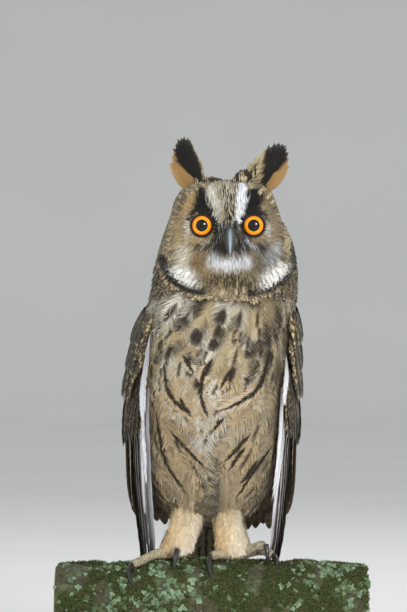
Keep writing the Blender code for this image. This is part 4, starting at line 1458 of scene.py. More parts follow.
@dataclass(frozen=True)
class BodyMarks:
    """The body's colours, and how strongly its feathers are streaked, barred and speckled."""

    breast: Colour = tone(196, 178, 140)
    breast_pale: Colour = tone(212, 205, 188)
    belly: Colour = tone(206, 182, 142)
    belly_pale: Colour = tone(208, 204, 192)
    shaded: Colour = tone(152, 136, 106)
    dark: Colour = tone(44, 36, 27)
    blotches: tuple[tuple[float, float, float, float, float, float], ...] = (
        (-29.8, 210.3, 2.7, 7.3, -35, 0.65),
        (-9.6, 212.7, 4.1, 9.7, -30, 0.9),
        (-24.4, 198.7, 4.2, 6.8, -55, 0.95),
        (6.6, 204.7, 3.4, 7.8, -20, 0.8),
        (4.2, 224.1, 4.7, 4.2, 0, 0.8),
        (20.3, 198.2, 4.1, 7.8, -25, 0.6),
        (-12.8, 189.3, 3.6, 5.5, -30, 0.95),
        (-28.1, 179.6, 3.4, 6.5, -30, 0.7),
        (6.6, 187.7, 3.9, 8.1, -15, 0.85),
        (26.3, 186.1, 3.1, 5.2, -10, 0.7),
        (44.6, 189.3, 3.7, 10.0, -10, 0.9),
        (55.9, 204.7, 2.7, 6.5, 10, 0.85),
        (25.2, 220.0, 4.4, 5.8, -20, 0.85),
        (35.7, 215.2, 4.1, 5.5, 0, 0.85),
        (51.8, 195.0, 2.4, 6.5, -5, 0.7),
        (34.1, 177.2, 3.9, 6.8, -5, 0.85),
        (46.2, 174.0, 2.7, 8.1, -5, 0.8),
        (-16.8, 168.3, 2.5, 6.8, 25, 0.95),
        (-9.6, 170.7, 1.9, 9.4, -8, 0.7),
        (-3.9, 158.6, 2.7, 9.4, -25, 0.85),
        (16.3, 158.6, 2.4, 9.7, -30, 0.6),
        (-41.9, 178.8, 1.7, 11.3, 0, 0.8),
        (61.2, 182.9, 1.5, 12.9, -5, 0.7),
        (34.1, 160.2, 2.5, 9.7, -5, 0.75),
        (-6.3, 190.9, 2.2, 11.3, -10, 0.5),
        (43.7, 155.4, 2.0, 9.0, -15, 0.6),
        (54.2, 158.6, 1.5, 10.3, -5, 0.7),
        (9.8, 148.9, 1.7, 5.2, -30, 0.6),
        (-17.3, 224.5, 1.7, 3.6, -10, 0.7),
        (-43.5, 200.6, 1.7, 5.5, -30, 0.5),
        (-33.8, 190.9, 1.9, 4.8, -30, 0.5),
        (14.7, 215.2, 2.0, 5.5, -15, 0.4),
    )
    low: Colour = tone(192, 170, 130)
    # painted shade: the grey-brown laid low between the legs
    vent: Colour = tone(112, 104, 90)
    # painted shade on both sides of the body, where they turn away from the light
    flank_shade: Colour = tone(156, 142, 114)
    neck: Colour = tone(172, 158, 126)
    back: Colour = tone(140, 118, 84)
    crown: Colour = tone(150, 136, 108)

    def tint(self, points: Array, fates: Array) -> Array:
        """The ground colours at some places, as FaceMarks.tint.

        Args:
            points: The places.
            fates: A random value for each.

        Returns:
            The colours.
        """
        x, y, z = (points[:, k] * 1000 for k in range(3))
        rough = ripple(points, 0.022, 21) + (fates - 0.5) * 0.6
        breast = blend(self.breast, self.breast_pale, ease(-0.1, 0.6, rough))
        white = ease(24, 4, np.abs(x - 3)) * ease(136, 124, z) * ease(92, 104, z)
        light = np.clip(ease(0.05, 0.6, rough) * 0.7 + white * 0.45, 0, 1)
        belly = blend(self.belly, self.belly_pale, light)
        colour = belly + (breast - belly) * ease(140, 175, z)[:, None]
        colour = blend(colour, self.low, ease(95, 60, z) * 0.7)
        # painted shade: darker low between the legs, where the belly and the legs shade it
        colour = blend(colour, self.vent, ease(112, 80, z) * ease(15, 5, np.abs(x - 3)) * 0.9)
        colour = blend(colour, self.shaded, ease(15, 50, x) * 0.65)
        # painted shade: darker on both sides, where the body turns away from the light
        colour = blend(colour, self.flank_shade, ease(38, 56, np.abs(x)) * ease(185, 150, z) * 0.8)
        colour = blend(colour, self.neck, ease(0, 22, y + 22) * ease(150, 185, z))
        colour = blend(colour, self.neck, ease(222, 240, z) * 0.8)
        colour = blend(colour, self.back, ease(5, 25, y) * ease(60, 100, z))
        colour = blend(colour, self.crown, ease(290, 305, z))
        front = ease(5, -15, y)
        ahead = (0.58 + 0.42 * fates) * (1 - 0.14 * ease(160, 120, z)) * front
        shade = (0.86 + 0.28 * fates) * (1 - front) + ahead
        return colour * shade[:, None]

    def spotted(self, points: Array) -> Array:
        """How strongly the breast's dark marks cover some places.

        Args:
            points: The places.

        Returns:
            The strengths, from 0 to 1.
        """
        x = points[:, 0] * 1000 + 0.7 * ripple(points, 0.0045, 23)
        z = points[:, 2] * 1000 + 1.0 * ripple(points, 0.0045, 24)
        found = np.zeros(len(points))
        for across, up, wide, tall, turn, strength in self.blotches:
            spot = blot(x, z, (across, up), wide * 1.25, tall * 1.1, turn)
            found = np.maximum(found, ease(0.10, 0.60, spot) * strength)
        return found * ease(-0.008, -0.020, points[:, 1])

    def blotched(self, points: Array, tint: Array) -> Array:
        """Lays the breast's dark marks over the colours at some places."""
        return blend(tint, self.dark, self.spotted(points))

    def marked(self, points: Array, fates: Array) -> Array:
        """The ground colours with the dark marks over them, as FaceMarks.tint."""
        return self.blotched(points, self.tint(points, fates))

    def marks(self, points: Array, fates: Array) -> Array:
        """Streak share, bar strength and speckle for a feather at each place.

        Args:
            points: The places.
            fates: A random value for each.

        Returns:
            The three values for each.
        """
        x, y, z = (points[:, k] * 1000 for k in range(3))
        upper = ease(138, 160, z)
        streaked = 0.15 * (fates > 0.5)
        faint = 0.13 * (fates > 0.70)
        share = faint + (streaked - faint) * upper
        side = ease(-24, -6, y)
        share = share + (0.06 - share) * side
        behind = ease(10, 28, y)
        share = share + (0.34 - share) * behind
        share = np.maximum(share, 0.46 * self.spotted(points)) * ease(40, 62, z)
        bars = 0.16 * (1 - upper) + 0.35 * behind + 0.2 * ease(40, 54, np.abs(x))
        speckle = 0.10 + 0.7 * side + 0.25 * ease(40, 54, np.abs(x)) + 0.5 * ease(228, 240, z)
        return np.stack([share, np.clip(bars, 0, 0.8), np.clip(speckle, 0, 0.9)], -1)


# The owl


@dataclass(frozen=True)
class Plot:
    """Where one kind of feather grows: heights, places along Y, and the feathers' sizes and spacing."""

    name: str
    low: float
    high: float
    ahead: float
    behind: float
    length: float
    spacing: float
    kind: FeatherKind


@dataclass
class BodyCoat:
    """The contour feathers from the vent to the nape, over a layer of down."""

    hide: Hide
    lie: Lie
    marks: BodyMarks
    finish: bpy.types.Material
    plots: tuple[Plot, ...] = (
        Plot("vent", 0.030, 0.062, -1, 1, 0.024, 0.0085,
             FeatherKind(0.0080, 26, 0.42, 0.0040, 0.25, 0.0009)),
        Plot("belly", 0.060, 0.158, -1, -0.004, 0.042, 0.0100,
             FeatherKind(0.0098, 36, 0.40, 0.0042, 0.22, 0.0009)),
        Plot("side", 0.060, 0.158, -0.004, 1, 0.036, 0.0130,
             FeatherKind(0.0105, 26, 0.36, 0.0040, 0.15, 0.0007)),
        Plot("breast", 0.156, 0.228, -1, -0.022, 0.034, 0.0080,
             FeatherKind(0.0092, 34, 0.38, 0.0042, 0.20, 0.0008)),
        Plot("neck", 0.156, 0.232, -0.022, 0.016, 0.024, 0.0078,
             FeatherKind(0.0066, 24, 0.36, 0.0042, 0.16, 0.0007)),
        Plot("back", 0.156, 0.240, 0.016, 1, 0.032, 0.0100,
             FeatherKind(0.0095, 28, 0.32, 0.0042, 0.12, 0.0005)),
    )
    long_kind: FeatherKind = FeatherKind(0.0064, 44, 0.26, 0.0050, 0.24, 0.0006)
    shaft_kind: FeatherKind = FeatherKind(0.0016, 46, 0.12, 0.0, 0.70, 0.0002, 0.40)
    shaft_lift: float = 0.0058
    long_lines: tuple[tuple[tuple[float, float], ...], ...] = (
        ((-36.4, 167.0), (-31.9, 140.5), (-13.5, 121.5)),
        ((-5.9, 163.0), (-8.0, 140.5), (-2.0, 121.0)),
        ((46.2, 181.4), (39.5, 152.0), (28.3, 138.3), (4.0, 126.0)),
        ((-33.0, 112.5), (-18.5, 95.8), (-3.5, 80.5)),
        ((-42.0, 126.8), (-38.6, 100.0), (-31.9, 79.2), (-12.6, 52.0)),
        ((47.0, 98.5), (32.8, 77.3), (18.5, 55.0)),
        ((31.0, 109.5), (20.2, 96.6), (10.0, 86.0)),
        ((38.5, 53.5), (33.0, 47.5), (27.6, 41.0)),
        ((-22.0, 173.0), (-17.5, 166.0), (-13.8, 158.5)),
        ((1.5, 170.5), (-4.6, 158.8), (-7.4, 150.0)),
        ((16.6, 162.5), (12.0, 154.5), (7.0, 145.5)),
        ((10.5, 122.0), (5.6, 116.5), (1.2, 111.5)),
        ((27.0, 98.5), (20.3, 89.5), (13.7, 79.5)),
        ((-47.6, 69.5), (-41.0, 61.0), (-34.3, 53.0)),
        ((53.8, 122.0), (49.9, 100.0), (46.0, 80.0)),
        ((-24.0, 139.0), (-21.0, 131.0), (-15.0, 125.0)),
        ((36.0, 88.0), (29.0, 76.0), (22.0, 68.0)),
    )
    down_count: int = 24000
    down: HairKind = HairKind(0.0008, 0.0016, 0.0003)

    def build(self) -> None:
        """Makes one piece for each plot, and one for the down."""
        for number, plot in enumerate(self.plots):
            draw = Source.COAT.draw(number)
            roots = self.hide.scatter(plot.spacing, lambda p, f=plot: self._grows(p, f), draw)
            lengths = plot.length * draw.uniform(0.85, 1.12, len(roots))
            lines = Combed.lay(self.hide, roots, self.lie.head, lengths)
            fates = draw.random(len(roots))
            seen = lines.points[:, 3]
            work = Patchwork()
            tint, marks = self.marks.tint(seen, fates), self.marks.marks(seen, fates)
            plot.kind.grow(lines, tint, marks, self.hide.unwrap(lines.points[:, 0]), draw, work)
            work.tints = [self.marks.blotched(np.concatenate(work.points), np.concatenate(work.tints))]
            settle(work.build("coat_" + plot.name, self.finish), ("torso", "neck"))
        self._long()
        draw = Source.DOWN.draw()
        roots = self.hide.pick(self.down_count, lambda p: p[:, 2] < 0.242, draw)
        lines = Combed.lay(self.hide, roots, self.lie.head, draw.uniform(0.008, 0.013, len(roots)), 3)
        work = Patchwork()
        spots = self.hide.unwrap(lines.points[:, 0])
        self.down.grow(lines, self.marks.marked, spots, draw, work)
        settle(work.build("coat_down", self.finish), ("torso", "neck"))

    def _long(self) -> None:
        """Makes the belly's few long feathers with a black shaft, each along its own line."""
        draw = Source.LONG.draw()
        work = Patchwork()
        for line in self.long_lines:
            flat = curve_through(np.array(line) / 1000, 4)
            spots = [self.hide.tree.ray_cast(Vector((x, -0.2, z)), Vector((0, 1, 0)))[:2] for x, z in flat]
            points = np.array([spot[0] for spot in spots])[None]
            normals = np.array([spot[1] for spot in spots])[None]
            tint = blend(self.marks.tint(points[:, -2], np.full(1, 0.4)), self.marks.belly, np.full(1, 0.5))
            place, plain = self.hide.unwrap(points[:, 0]), np.zeros((1, 3))
            self.long_kind.grow(Combed(points, normals), tint, plain, place, draw, work)
            over = Combed(points + normals * self.shaft_lift, normals)
            self.shaft_kind.grow(over, np.array([tone(46, 38, 28)]), plain, place, draw, work)
        settle(work.build("coat_long", self.finish), ("torso",))

    def _grows(self, points: Array, plot: Plot) -> Array:
        """Whether a plot's feathers root at some places."""
        tall = (points[:, 2] > plot.low) & (points[:, 2] < plot.high)
        return tall & (points[:, 1] > plot.ahead) & (points[:, 1] < plot.behind)


@dataclass
class HeadCoat:
    """The bristly disc, the ruff round it, and the crown and nape."""

    hide: Hide
    lie: Lie
    finish: bpy.types.Material
    face: FaceMarks = FaceMarks()
    ruff: RuffMarks = RuffMarks()
    body: BodyMarks = BodyMarks()
    crest: tuple[tuple[float, float], ...] = (
        (-0.027, 0.3205),
        (-0.012, 0.3225),
        (-0.004, 0.3190),
        (0.0005, 0.3150),
        (0.005, 0.3205),
        (0.010, 0.3275),
        (0.017, 0.3280),
        (0.026, 0.3340),
    )
    tufts: int = 16000
    tuft: HairKind = HairKind(0.00042, 0.0034, 0.0005)

    def build(self) -> None:
        """Makes the disc's tufts, the ruff's feathers, and those behind and above them."""
        self._disc()
        small = FeatherKind(0.0018, 11, 0.30, 0.0048, 0.10, 0.0003)
        self._feathers("ruff", self._in_ruff, 0.0021, 0.0075, small, 0.5, Source.RUFF)
        crown = FeatherKind(0.0034, 16, 0.32, 0.0040, 0.14, 0.0005)
        self._feathers("crown", self._on_crown, 0.0034, 0.011, crown, 0.85, Source.CROWN)
        nape = FeatherKind(0.0056, 20, 0.34, 0.0042, 0.14, 0.0006)
        self._feathers("nape", self._on_nape, 0.0056, 0.018, nape, 0.85, Source.NAPE)
        self._crest()
        self._bristles()

    def _in_disc(self, points: Array) -> Array:
        """Whether the disc's tufts root there."""
        return (self.hide.rim(points) < 0.97) & (eye_gap(points) > 0.0094)

    def _in_ruff(self, points: Array) -> Array:
        """Whether the ruff's feathers root there.

        Args:
            points: The places.

        Returns:
            Whether they do, for each.
        """
        rim = self.hide.rim(points)
        low = 1.06 + 0.13 * ease(0.008, 0.025, np.abs(points[:, 0] - FACE_CENTRE))
        return (rim > 0.90) & (rim < np.where(points[:, 2] < 0.262, low, 1.14)) & (points[:, 2] < 0.309)

    def _on_crown(self, points: Array) -> Array:
        """Whether the crown's feathers root there."""
        return (self.hide.rim(points) > 0.93) & (points[:, 2] > 0.296)

    def _on_nape(self, points: Array) -> Array:
        """Whether the feathers of the nape and of the head's sides root there."""
        return (self.hide.rim(points) > 1.08) & (points[:, 2] > 0.234) & (points[:, 2] < 0.302)

    def _disc(self) -> None:
        """Makes the disc's tufts."""
        draw = Source.DISC.draw()
        roots = self.hide.pick(self.tufts, self._in_disc, draw)
        near = ease(0.010, 0.020, eye_gap(roots))
        lengths = (0.004 + 0.006 * near) * draw.uniform(0.8, 1.2, len(roots))
        lines = Combed.lay(self.hide, roots, self.lie.face, lengths, 3)
        work = Patchwork()
        spots = self.hide.unwrap(lines.points[:, 0])
        self.tuft.grow(lines, self.face.tint, spots, draw, work, 0.30 + 0.70 * near)
        settle(work.build("coat_disc", self.finish), ("head",))

    def _crest(self) -> None:
        """Makes the mottled feathers that stand up over the brows, with a notch between them."""
        draw = Source.CREST.draw()
        across = np.concatenate([draw.uniform(-0.027, -0.002, 250), draw.uniform(0.003, 0.026, 290)])
        count = len(across)
        tops = np.interp(across, *zip(*self.crest))
        root = np.stack([FACE_CENTRE + across * 0.94, draw.uniform(-0.024, -0.002, count), tops - 0.0115], -1)
        back = draw.uniform(0.000, 0.004, count)
        rise = np.stack([across * 0.06, back, draw.uniform(0.0070, 0.0120, count)], -1)
        along = np.linspace(0, 1, 6)[None, :, None]
        points = root[:, None] + rise[:, None] * along + np.array((0, 0.003, 0)) * along**2
        normals = unit(np.stack([across * 8, np.full(count, -1.0), np.full(count, 0.2)], -1))
        lines = Combed(points, np.repeat(normals[:, None], 6, axis=1))
        fates = draw.random(count)
        tint = np.where((fates < 0.56)[:, None], tone(50, 42, 32), tone(204, 188, 152))
        marks = np.stack([np.where(fates > 0.6, 0.3, 0.0), 0 * fates, np.full(count, 0.55)], -1)
        work = Patchwork()
        kind = FeatherKind(0.0013, 12, 0.30, 0.0, 0.16, 0.0003)
        kind.grow(lines, tint, marks, self.hide.unwrap(root), draw, work)
        settle(work.build("coat_crest", self.finish), ("head",))

    def _bristles(self) -> None:
        """Makes the stiff hairs over the root of the bill and down its two sides."""
        draw = Source.BRISTLES.draw()
        count = 1000
        side = np.sign(draw.random(count) - 0.5)
        drop = draw.random(count)
        off = draw.uniform(0.0, 0.0042, count) + 0.0040 * drop
        across, up = FACE_CENTRE + 0.0016 + side * off, 0.2855 - 0.0170 * drop
        root, _ = self.hide.nearest(np.stack([across, np.full(count, -0.034), up], -1))
        way = np.stack([side * (0.06 + 0.50 * drop), np.full(count, -0.90), -0.95 - 0.40 * drop], -1)
        long = draw.uniform(0.006, 0.0105, count)
        along = np.linspace(0, 1, 5)[None, :, None]
        points = root[:, None] + unit(way)[:, None] * long[:, None, None] * along
        points[:, :, 2] -= 0.0035 * along[..., 0] ** 2
        normals = np.broadcast_to((0.0, -0.6, 0.8), points.shape)
        work = Patchwork()
        lines = Combed(points, normals)
        spots = self.hide.unwrap(root)
        HairKind(0.00024, 0.0002, 0.0004).grow(lines, self._bristle_tint, spots, draw, work)
        settle(work.build("coat_bristles", self.finish), ("head",))

    def _bristle_tint(self, points: Array, fates: Array) -> Array:
        """Colours the bristles: mostly near black, some pale grey."""
        pale = (fates * 3.7 % 1 < 0.24)[:, None]
        return np.where(pale, tone(150, 152, 144), tone(40, 40, 36))

    def _feathers(self, name: str, grows: Callable[[Array], Array], spacing: float, length: float,
                  kind: FeatherKind, speckle: float, source: Source) -> None:
        """Makes one of the head's areas of small feathers.

        Args:
            name: The area.
            grows: Whether feathers root at places.
            spacing: How far apart they root.
            length: How long they are.
            kind: Their make.
            speckle: How speckled they are.
            source: The random source.
        """
        draw = source.draw()
        roots = self.hide.scatter(spacing, grows, draw)
        lines = Combed.lay(self.hide, roots, self.lie.head, length * draw.uniform(0.85, 1.15, len(roots)))
        fates = draw.random(len(roots))
        seen = lines.points[:, 3]
        speckled = np.full(len(roots), speckle)
        if name == "ruff":
            tint, share = self.ruff.tint(seen, fates), np.zeros(len(roots))
            speckled = np.where(tint.min(axis=-1) > 0.45, 0.05, speckled)
        else:
            tint, share = self.body.tint(seen, fates), np.where(fates > 0.6, 0.22, 0.05)
        marks = np.stack([share, np.full(len(roots), 0.2), speckled], -1)
        work = Patchwork()
        kind.grow(lines, tint, marks, self.hide.unwrap(lines.points[:, 0]), draw, work)
        settle(work.build("coat_" + name, self.finish), ("head",))


@dataclass(frozen=True)
class Row:
    """A row of a wing's feathers from the leading edge to the back.

    Each lay is the root's degrees and height, the tip's degrees and height, and the root's and the
    tip's lift off the body.
    """

    name: str
    count: int
    first: tuple[float, ...]
    last: tuple[float, ...]
    half: float
    slope: float
    droop: float
    tint: Colour
    edge: Colour
    marks: tuple[float, float, float]
    stiff: bool = False


@dataclass
class Wing:
    """A folded wing: flight feathers under rows of coverts, on the body's wide outline."""

    side: Side
    flight: bpy.types.Material
    covert: bpy.types.Material
    envelope: Envelope
    front_shift: float = 0.0
    rows: tuple[Row, ...] = (
        Row("primary", 10, (49, 0.146, 61, -0.056, 0.0022, 0.0014),
            (84, 0.120, 112, 0.018, 0.0022, 0.0014),
            0.0078, 0.0040, 0.0, tone(148, 143, 136), tone(226, 226, 232), (0.0, 0.55, 0.30), True),
        Row("secondary", 11, (78, 0.130, 88, 0.048, 0.0038, 0.0062),
            (148, 0.142, 158, 0.024, 0.0038, 0.0062),
            0.0115, 0.0032, 0.008, tone(160, 143, 116), tone(172, 156, 130), (0.0, 0.60, 0.45), True),
        Row("primary_covert", 6, (51, 0.165, 57, 0.104, 0.0026, 0.0064),
            (72, 0.156, 80, 0.098, 0.0030, 0.0086),
            0.0078, 0.0018, 0.0, tone(146, 124, 90), tone(176, 156, 118), (0.30, 0.3, 0.95)),
        Row("greater_covert", 10, (80, 0.152, 87, 0.096, 0.0044, 0.0094),
            (146, 0.160, 155, 0.100, 0.0040, 0.0094),
            0.0100, 0.0022, 0.0, tone(148, 128, 96), tone(176, 156, 118), (0.25, 0.3, 0.95)),
        Row("median_covert", 9, (62, 0.172, 69, 0.134, 0.0034, 0.0100),
            (126, 0.182, 134, 0.144, 0.0030, 0.0100),
            0.0090, 0.0016, 0.0, tone(150, 128, 94), tone(206, 184, 140), (0.30, 0.2, 0.95)),
        Row("lesser_covert", 10, (56, 0.190, 61, 0.156, 0.0018, 0.0084),
            (122, 0.202, 128, 0.168, 0.0016, 0.0088),
            0.0088, 0.0012, 0.0, tone(150, 130, 96), tone(206, 184, 140), (0.28, 0.2, 0.95)),
        Row("marginal_covert", 9, (56, 0.207, 60, 0.180, 0.0010, 0.0072),
            (112, 0.216, 118, 0.190, 0.0010, 0.0076),
            0.0085, 0.0010, 0.0, tone(156, 136, 102), tone(210, 186, 140), (0.25, 0.1, 0.95)),
        Row("scapular", 7, (128, 0.206, 141, 0.142, 0.0012, 0.0106),
            (158, 0.198, 164, 0.120, 0.0012, 0.0086),
            0.0100, 0.0022, 0.0, tone(158, 138, 106), tone(226, 216, 190), (0.40, 0.4, 0.95)),
    )
    pale_lines: dict[Side, tuple[tuple[float, float, tuple[tuple[float, float], ...]], ...]] = field(
        default_factory=lambda: {
            Side.RIGHT: (
                (3.6, 0.0112, ((-50.0, 191.0), (-54.0, 165.0), (-56.0, 145.0), (-55.0, 124.0))),
                (3.2, 0.0118, ((-51.5, 180.0), (-56.5, 150.0), (-57.5, 132.0), (-56.0, 116.0))),
                (2.6, 0.0105, ((-55.5, 142.0), (-56.5, 110.0), (-55.0, 88.0), (-54.0, 64.0))),
                (2.2, 0.0100, ((-58.5, 112.0), (-57.5, 88.0), (-56.5, 60.0), (-55.0, 38.0))),
            ),
            Side.LEFT: (
                (3.2, 0.0112, ((62.0, 172.0), (62.5, 156.0), (61.5, 144.0), (60.0, 130.0))),
                (2.4, 0.0105, ((59.5, 140.0), (58.0, 112.0), (55.5, 84.0), (51.0, 50.0))),
                (2.0, 0.0100, ((60.5, 118.0), (58.5, 90.0), (55.0, 60.0), (52.0, 34.0))),
            ),
        }
    )
    primary_taper: float = 1.7
    steps: int = 12

    def build(self) -> None:
        """Makes the flight feathers and the coverts, one piece each."""
        draw = Source.WING.draw(self.side.value)
        stiff, soft = Patchwork(), Patchwork()
        for row in self.rows:
            self._row(row, draw, stiff if row.stiff else soft)
        self._pale(draw, soft)
        node = "wing_" + self.side.word
        settle(stiff.build(node + "_flight", self.flight), (node,))
        settle(soft.build(node + "_coverts", self.covert), (node,))

    def _row(self, row: Row, draw: np.random.Generator, work: Patchwork) -> None:
        """Adds one row.

        Args:
            row: The row.
            draw: The random source.
            work: Where the triangles go.
        """
        share = np.arange(row.count) / (row.count - 1)
        first, last = np.array(row.first), np.array(row.last)
        lay = first + (last - first) * share[:, None]
        if row.name == "primary":
            lay[:, 3] = first[3] + (last[3] - first[3]) * share**self.primary_taper
            lay[0, 3] += 0.010
        uneven = 0.0045 if row.name == "secondary" else 0.0015
        lay[:, 3] += draw.uniform(-uneven, uneven, row.count) - row.droop * np.sin(math.pi * share)
        lay[:, 0] += draw.uniform(-1.0, 1.0, row.count) * (not row.stiff)
        along = np.linspace(0, 1, self.steps + 1)
        degrees = lay[:, 0:1] + (lay[:, 2:3] - lay[:, 0:1]) * along
        heights = lay[:, 1:2] + (lay[:, 3:4] - lay[:, 1:2]) * along
        lifts = lay[:, 4:5] + (lay[:, 5:6] - lay[:, 4:5]) * np.sin(math.pi / 2 * along)
        points = self._place(degrees, heights, lifts)
        normals = unit(self._place(degrees, heights, lifts + 0.001) - points)
        lines = Combed(points, normals)
        tints = blend(row.tint, row.edge, ease(0.22, 0.0, share))
        plain = (0.85 if row.stiff else 0.1) * ease(0.14, 0.0, share)
        marks = np.array(row.marks) * (1 - plain)[:, None]
        slopes = np.where(share > 0, row.slope, row.slope * 0.4)
        around = degrees[:, 0] * self.side.value % 360 / 360
        places = np.stack([around, np.clip((heights[:, 0] + 0.07) / 0.4, 0, 1)], -1)
        if row.stiff:
            kind = VaneKind(row.half)
        else:
            kind = FeatherKind(row.half, 30, 0.26, 0.0, 0.07, 0.0002, 0.55)
        kind.grow(lines, tints, marks, places, draw, work, slopes, self.side.value)

    def _pale(self, draw: np.random.Generator, work: Patchwork) -> None:
        """Adds the white feathers along the wing's leading edge, each on its own line.

        Args:
            draw: The random source.
            work: Where the triangles go.
        """
        turns = np.linspace(25, 95, 300)
        for half, lift, line in self.pale_lines[self.side]:
            flat = curve_through(np.array(line) / 1000, 4)
            degrees = []
            for x, z in flat:
                edge = self.envelope.point(self.side.value * turns, np.full(len(turns), z), lift)[:, 0]
                reach = np.maximum.accumulate(edge * self.side.value)
                degrees.append(np.interp(x * self.side.value, reach, turns))
            turned, heights = self.side.value * np.array(degrees), flat[:, 1]
            points = self.envelope.point(turned, heights, lift)
            normals = unit(self.envelope.point(turned, heights, lift + 0.001) - points)
            kind = FeatherKind(half / 1000, 44, 0.16, 0.0, 0.10, 0.0002, 0.45)
            place = np.array([(turned[0] % 360 / 360, np.clip((heights[0] + 0.07) / 0.4, 0, 1))])
            tint, marks = np.array([tone(240, 240, 244)]), np.array([(0.0, 0.0, 0.05)])
            kind.grow(Combed(points[None], normals[None]), tint, marks, place, draw, work)

    def _place(self, degrees: Array, heights: Array, lifts: Array) -> Array:
        """Places on the outline, with the front edge turned back by the wing's shift."""
        turned = degrees + self.front_shift * np.clip(1 - (degrees - 46) / 116, 0, None)
        return self.envelope.point(self.side.value * turned, heights, lifts)


@dataclass
class Tail:
    """Twelve stacked feathers with coverts above and below."""

    flight: bpy.types.Material
    covert: bpy.types.Material
    root: tuple[float, float, float] = (-0.0020, 0.0500, 0.0640)
    tip: tuple[float, float, float] = (-0.0060, 0.0600, -0.0420)
    pairs: int = 6
    step: float = 0.00095
    steps: int = 10

    def build(self) -> None:
        """Makes the feathers as one piece and the coverts as another."""
        draw = Source.TAIL.draw()
        work, soft = Patchwork(), Patchwork()
        for k in range(self.pairs):
            for side in Side:
                level = 0.0030 - self.step * (k + (1 if k or side is Side.RIGHT else 0))
                reach = 1.0 - 0.028 * (k - draw.random() / 4)
                root_x, tip_x = side.value * (0.5 + k) * 0.0016, side.value * (0.7 + k) * 0.0042
                lines = self._line(root_x, tip_x, level, reach)
                tint, marks = np.array([tone(150, 130, 100)]), np.array([(0.0, 0.8, 0.6)])
                place = np.array([(0.5 + side.value * 0.02 * k, 0.1)])
                VaneKind(0.0098).grow(lines, tint, marks, place, draw, work)
        for level, reach in ((0.0043, 0.52), (0.0050, 0.40), (-0.0046, 0.66), (-0.0052, 0.50)):
            for k in range(-2, 3):
                raised = level + math.copysign(0.0004 * (2 - abs(k)), level)
                lines = self._line(k * 0.0045, k * 0.0065, raised, reach)
                pale = level < 0
                tint = np.array([tone(196, 184, 156) if pale else tone(140, 120, 90)])
                marks = np.array([(0.12, 0.2, 0.2) if pale else (0.2, 0.6, 0.6)])
                kind = FeatherKind(0.0080, 30, 0.30, 0.0, 0.12, 0.0004)
                kind.grow(lines, tint, marks, np.array([(0.5 + k * 0.03, 0.15)]), draw, soft)
        settle(work.build("tail_feathers", self.flight), ("tail",))
        settle(soft.build("tail_coverts", self.covert), ("tail",))

    def _line(self, root_x: float, tip_x: float, level: float, reach: float) -> Combed:
        """The middle line of one feather at a level above the middle of the stack.

        Args:
            root_x: How far across its root is.
            tip_x: How far across its tip is.
            level: Its level.
            reach: Its length as a share of the tail's.

        Returns:
            The line.
        """
        root, tip = np.array(self.root), np.array(self.tip)
        axis = tip - root
        back = unit(np.cross((1.0, 0.0, 0.0), axis))
        run = 0.02 + (reach - 0.02) * np.linspace(0, 1, self.steps + 1)[:, None]
        x = root_x + (tip_x - root_x) * run
        level = level - 0.0012 * (x / 0.032) ** 2
        points = root + axis * run + x * np.array((1.0, 0, 0)) + back * level
        normals = np.broadcast_to(back * math.copysign(1, level[0, 0]), points.shape)
        return Combed(points[None], normals[None].copy())


@dataclass
class EarTuft:
    """One ear tuft: a fan of long feathers from the crown."""

    side: Side
    finish: bpy.types.Material
    inner: tuple[float, float]
    outer: tuple[float, float]
    low: tuple[float, float]
    peak: tuple[float, float]
    high: tuple[float, float]
    core: tuple[tuple[float, float, float], ...]
    count: int = 11
    depth: float = -0.0170
    half: float = 0.0042

    def build(self) -> None:
        """Makes the tuft as one piece."""
        draw = Source.TUFT.draw(self.side.value)
        work = Patchwork()
        along = np.linspace(0, 1, 9)[:, None]
        for layer in (0, 1):
            for k in range(self.count):
                share = min(max((k + 0.5 * layer) / (self.count - 1), 0.0), 1.0)
                root = self._between(self.inner, self.outer, share)
                low = self._between(self.low, self.peak, share / 0.55)
                tip = low + (self._between(self.peak, self.high, (share - 0.55) / 0.45) - low) * share
                tip = tip + draw.uniform(-0.0006, 0.0006, 2)
                reach = (tip - root) * (0.86 if layer else 1.0)
                level = 0.0060 / self.count * (k - self.count / 2) + 0.0022 * layer
                bow = self.side.value * 0.0020 * share * np.sin(math.pi * along)
                flat = root + reach * along
                rows = [flat[:, :1] + bow, self.depth + level + 0.0040 * along**2, flat[:, 1:]]
                points = np.hstack(rows)
                way = unit(np.gradient(points, axis=0))
                normals = unit(np.cross(np.cross(way, (0.0, -1.0, 0.0)), way))
                lines = Combed(points[None], normals[None])
                edge = abs(share - 0.5) * 2
                kind = FeatherKind(self.half * (1 - 0.25 * edge), 100, 0.14, 0.0, 0.02, 0.0002, 0.58)
                spot = np.array([(0.5 + self.side.value * (0.1 + 0.02 * share), 0.98)])
                kind.grow(lines, np.array([Tint.SOOT]), np.array([(0.0, 0.0, 0.2)]), spot, draw, work)
        work.tints = [self._tint(np.concatenate(work.points))]
        node = "ear_tuft_" + self.side.word
        settle(work.build(node + "_feathers", self.finish), (node,))

    def _tint(self, points: Array) -> Array:
        """Colours the tuft: a black core up to the tip, a buff outer lobe and a thin pale inner edge.

        Args:
            points: The places.

        Returns:
            The colours.
        """
        x = points[:, 0] * 1000 + 0.7 * ripple(points, 0.004, 51)
        z = points[:, 2] * 1000
        rows = np.array(self.core)
        middle = np.interp(z, rows[:, 1], rows[:, 0])
        outer = ((x - middle) * self.side.value > 0)[:, None]
        colour = np.where(outer, np.array(tone(164, 130, 82)), np.array(tone(172, 158, 122)))
        flecks = ease(-0.1, 0.3, ripple(points, 0.0032, 52)) * ~outer[:, 0] * ease(rows[-2, 1], rows[1, 1], z)
        colour = blend(colour, tone(46, 38, 28), flecks * 0.85)
        return blend(colour, Tint.SOOT, band(x, z, self.core, 1.0, 0.14))

    def _between(self, start: tuple[float, float], end: tuple[float, float], share: float) -> Array:
        """A place on the line through two places."""
        return np.array(start) + (np.array(end) - np.array(start)) * share


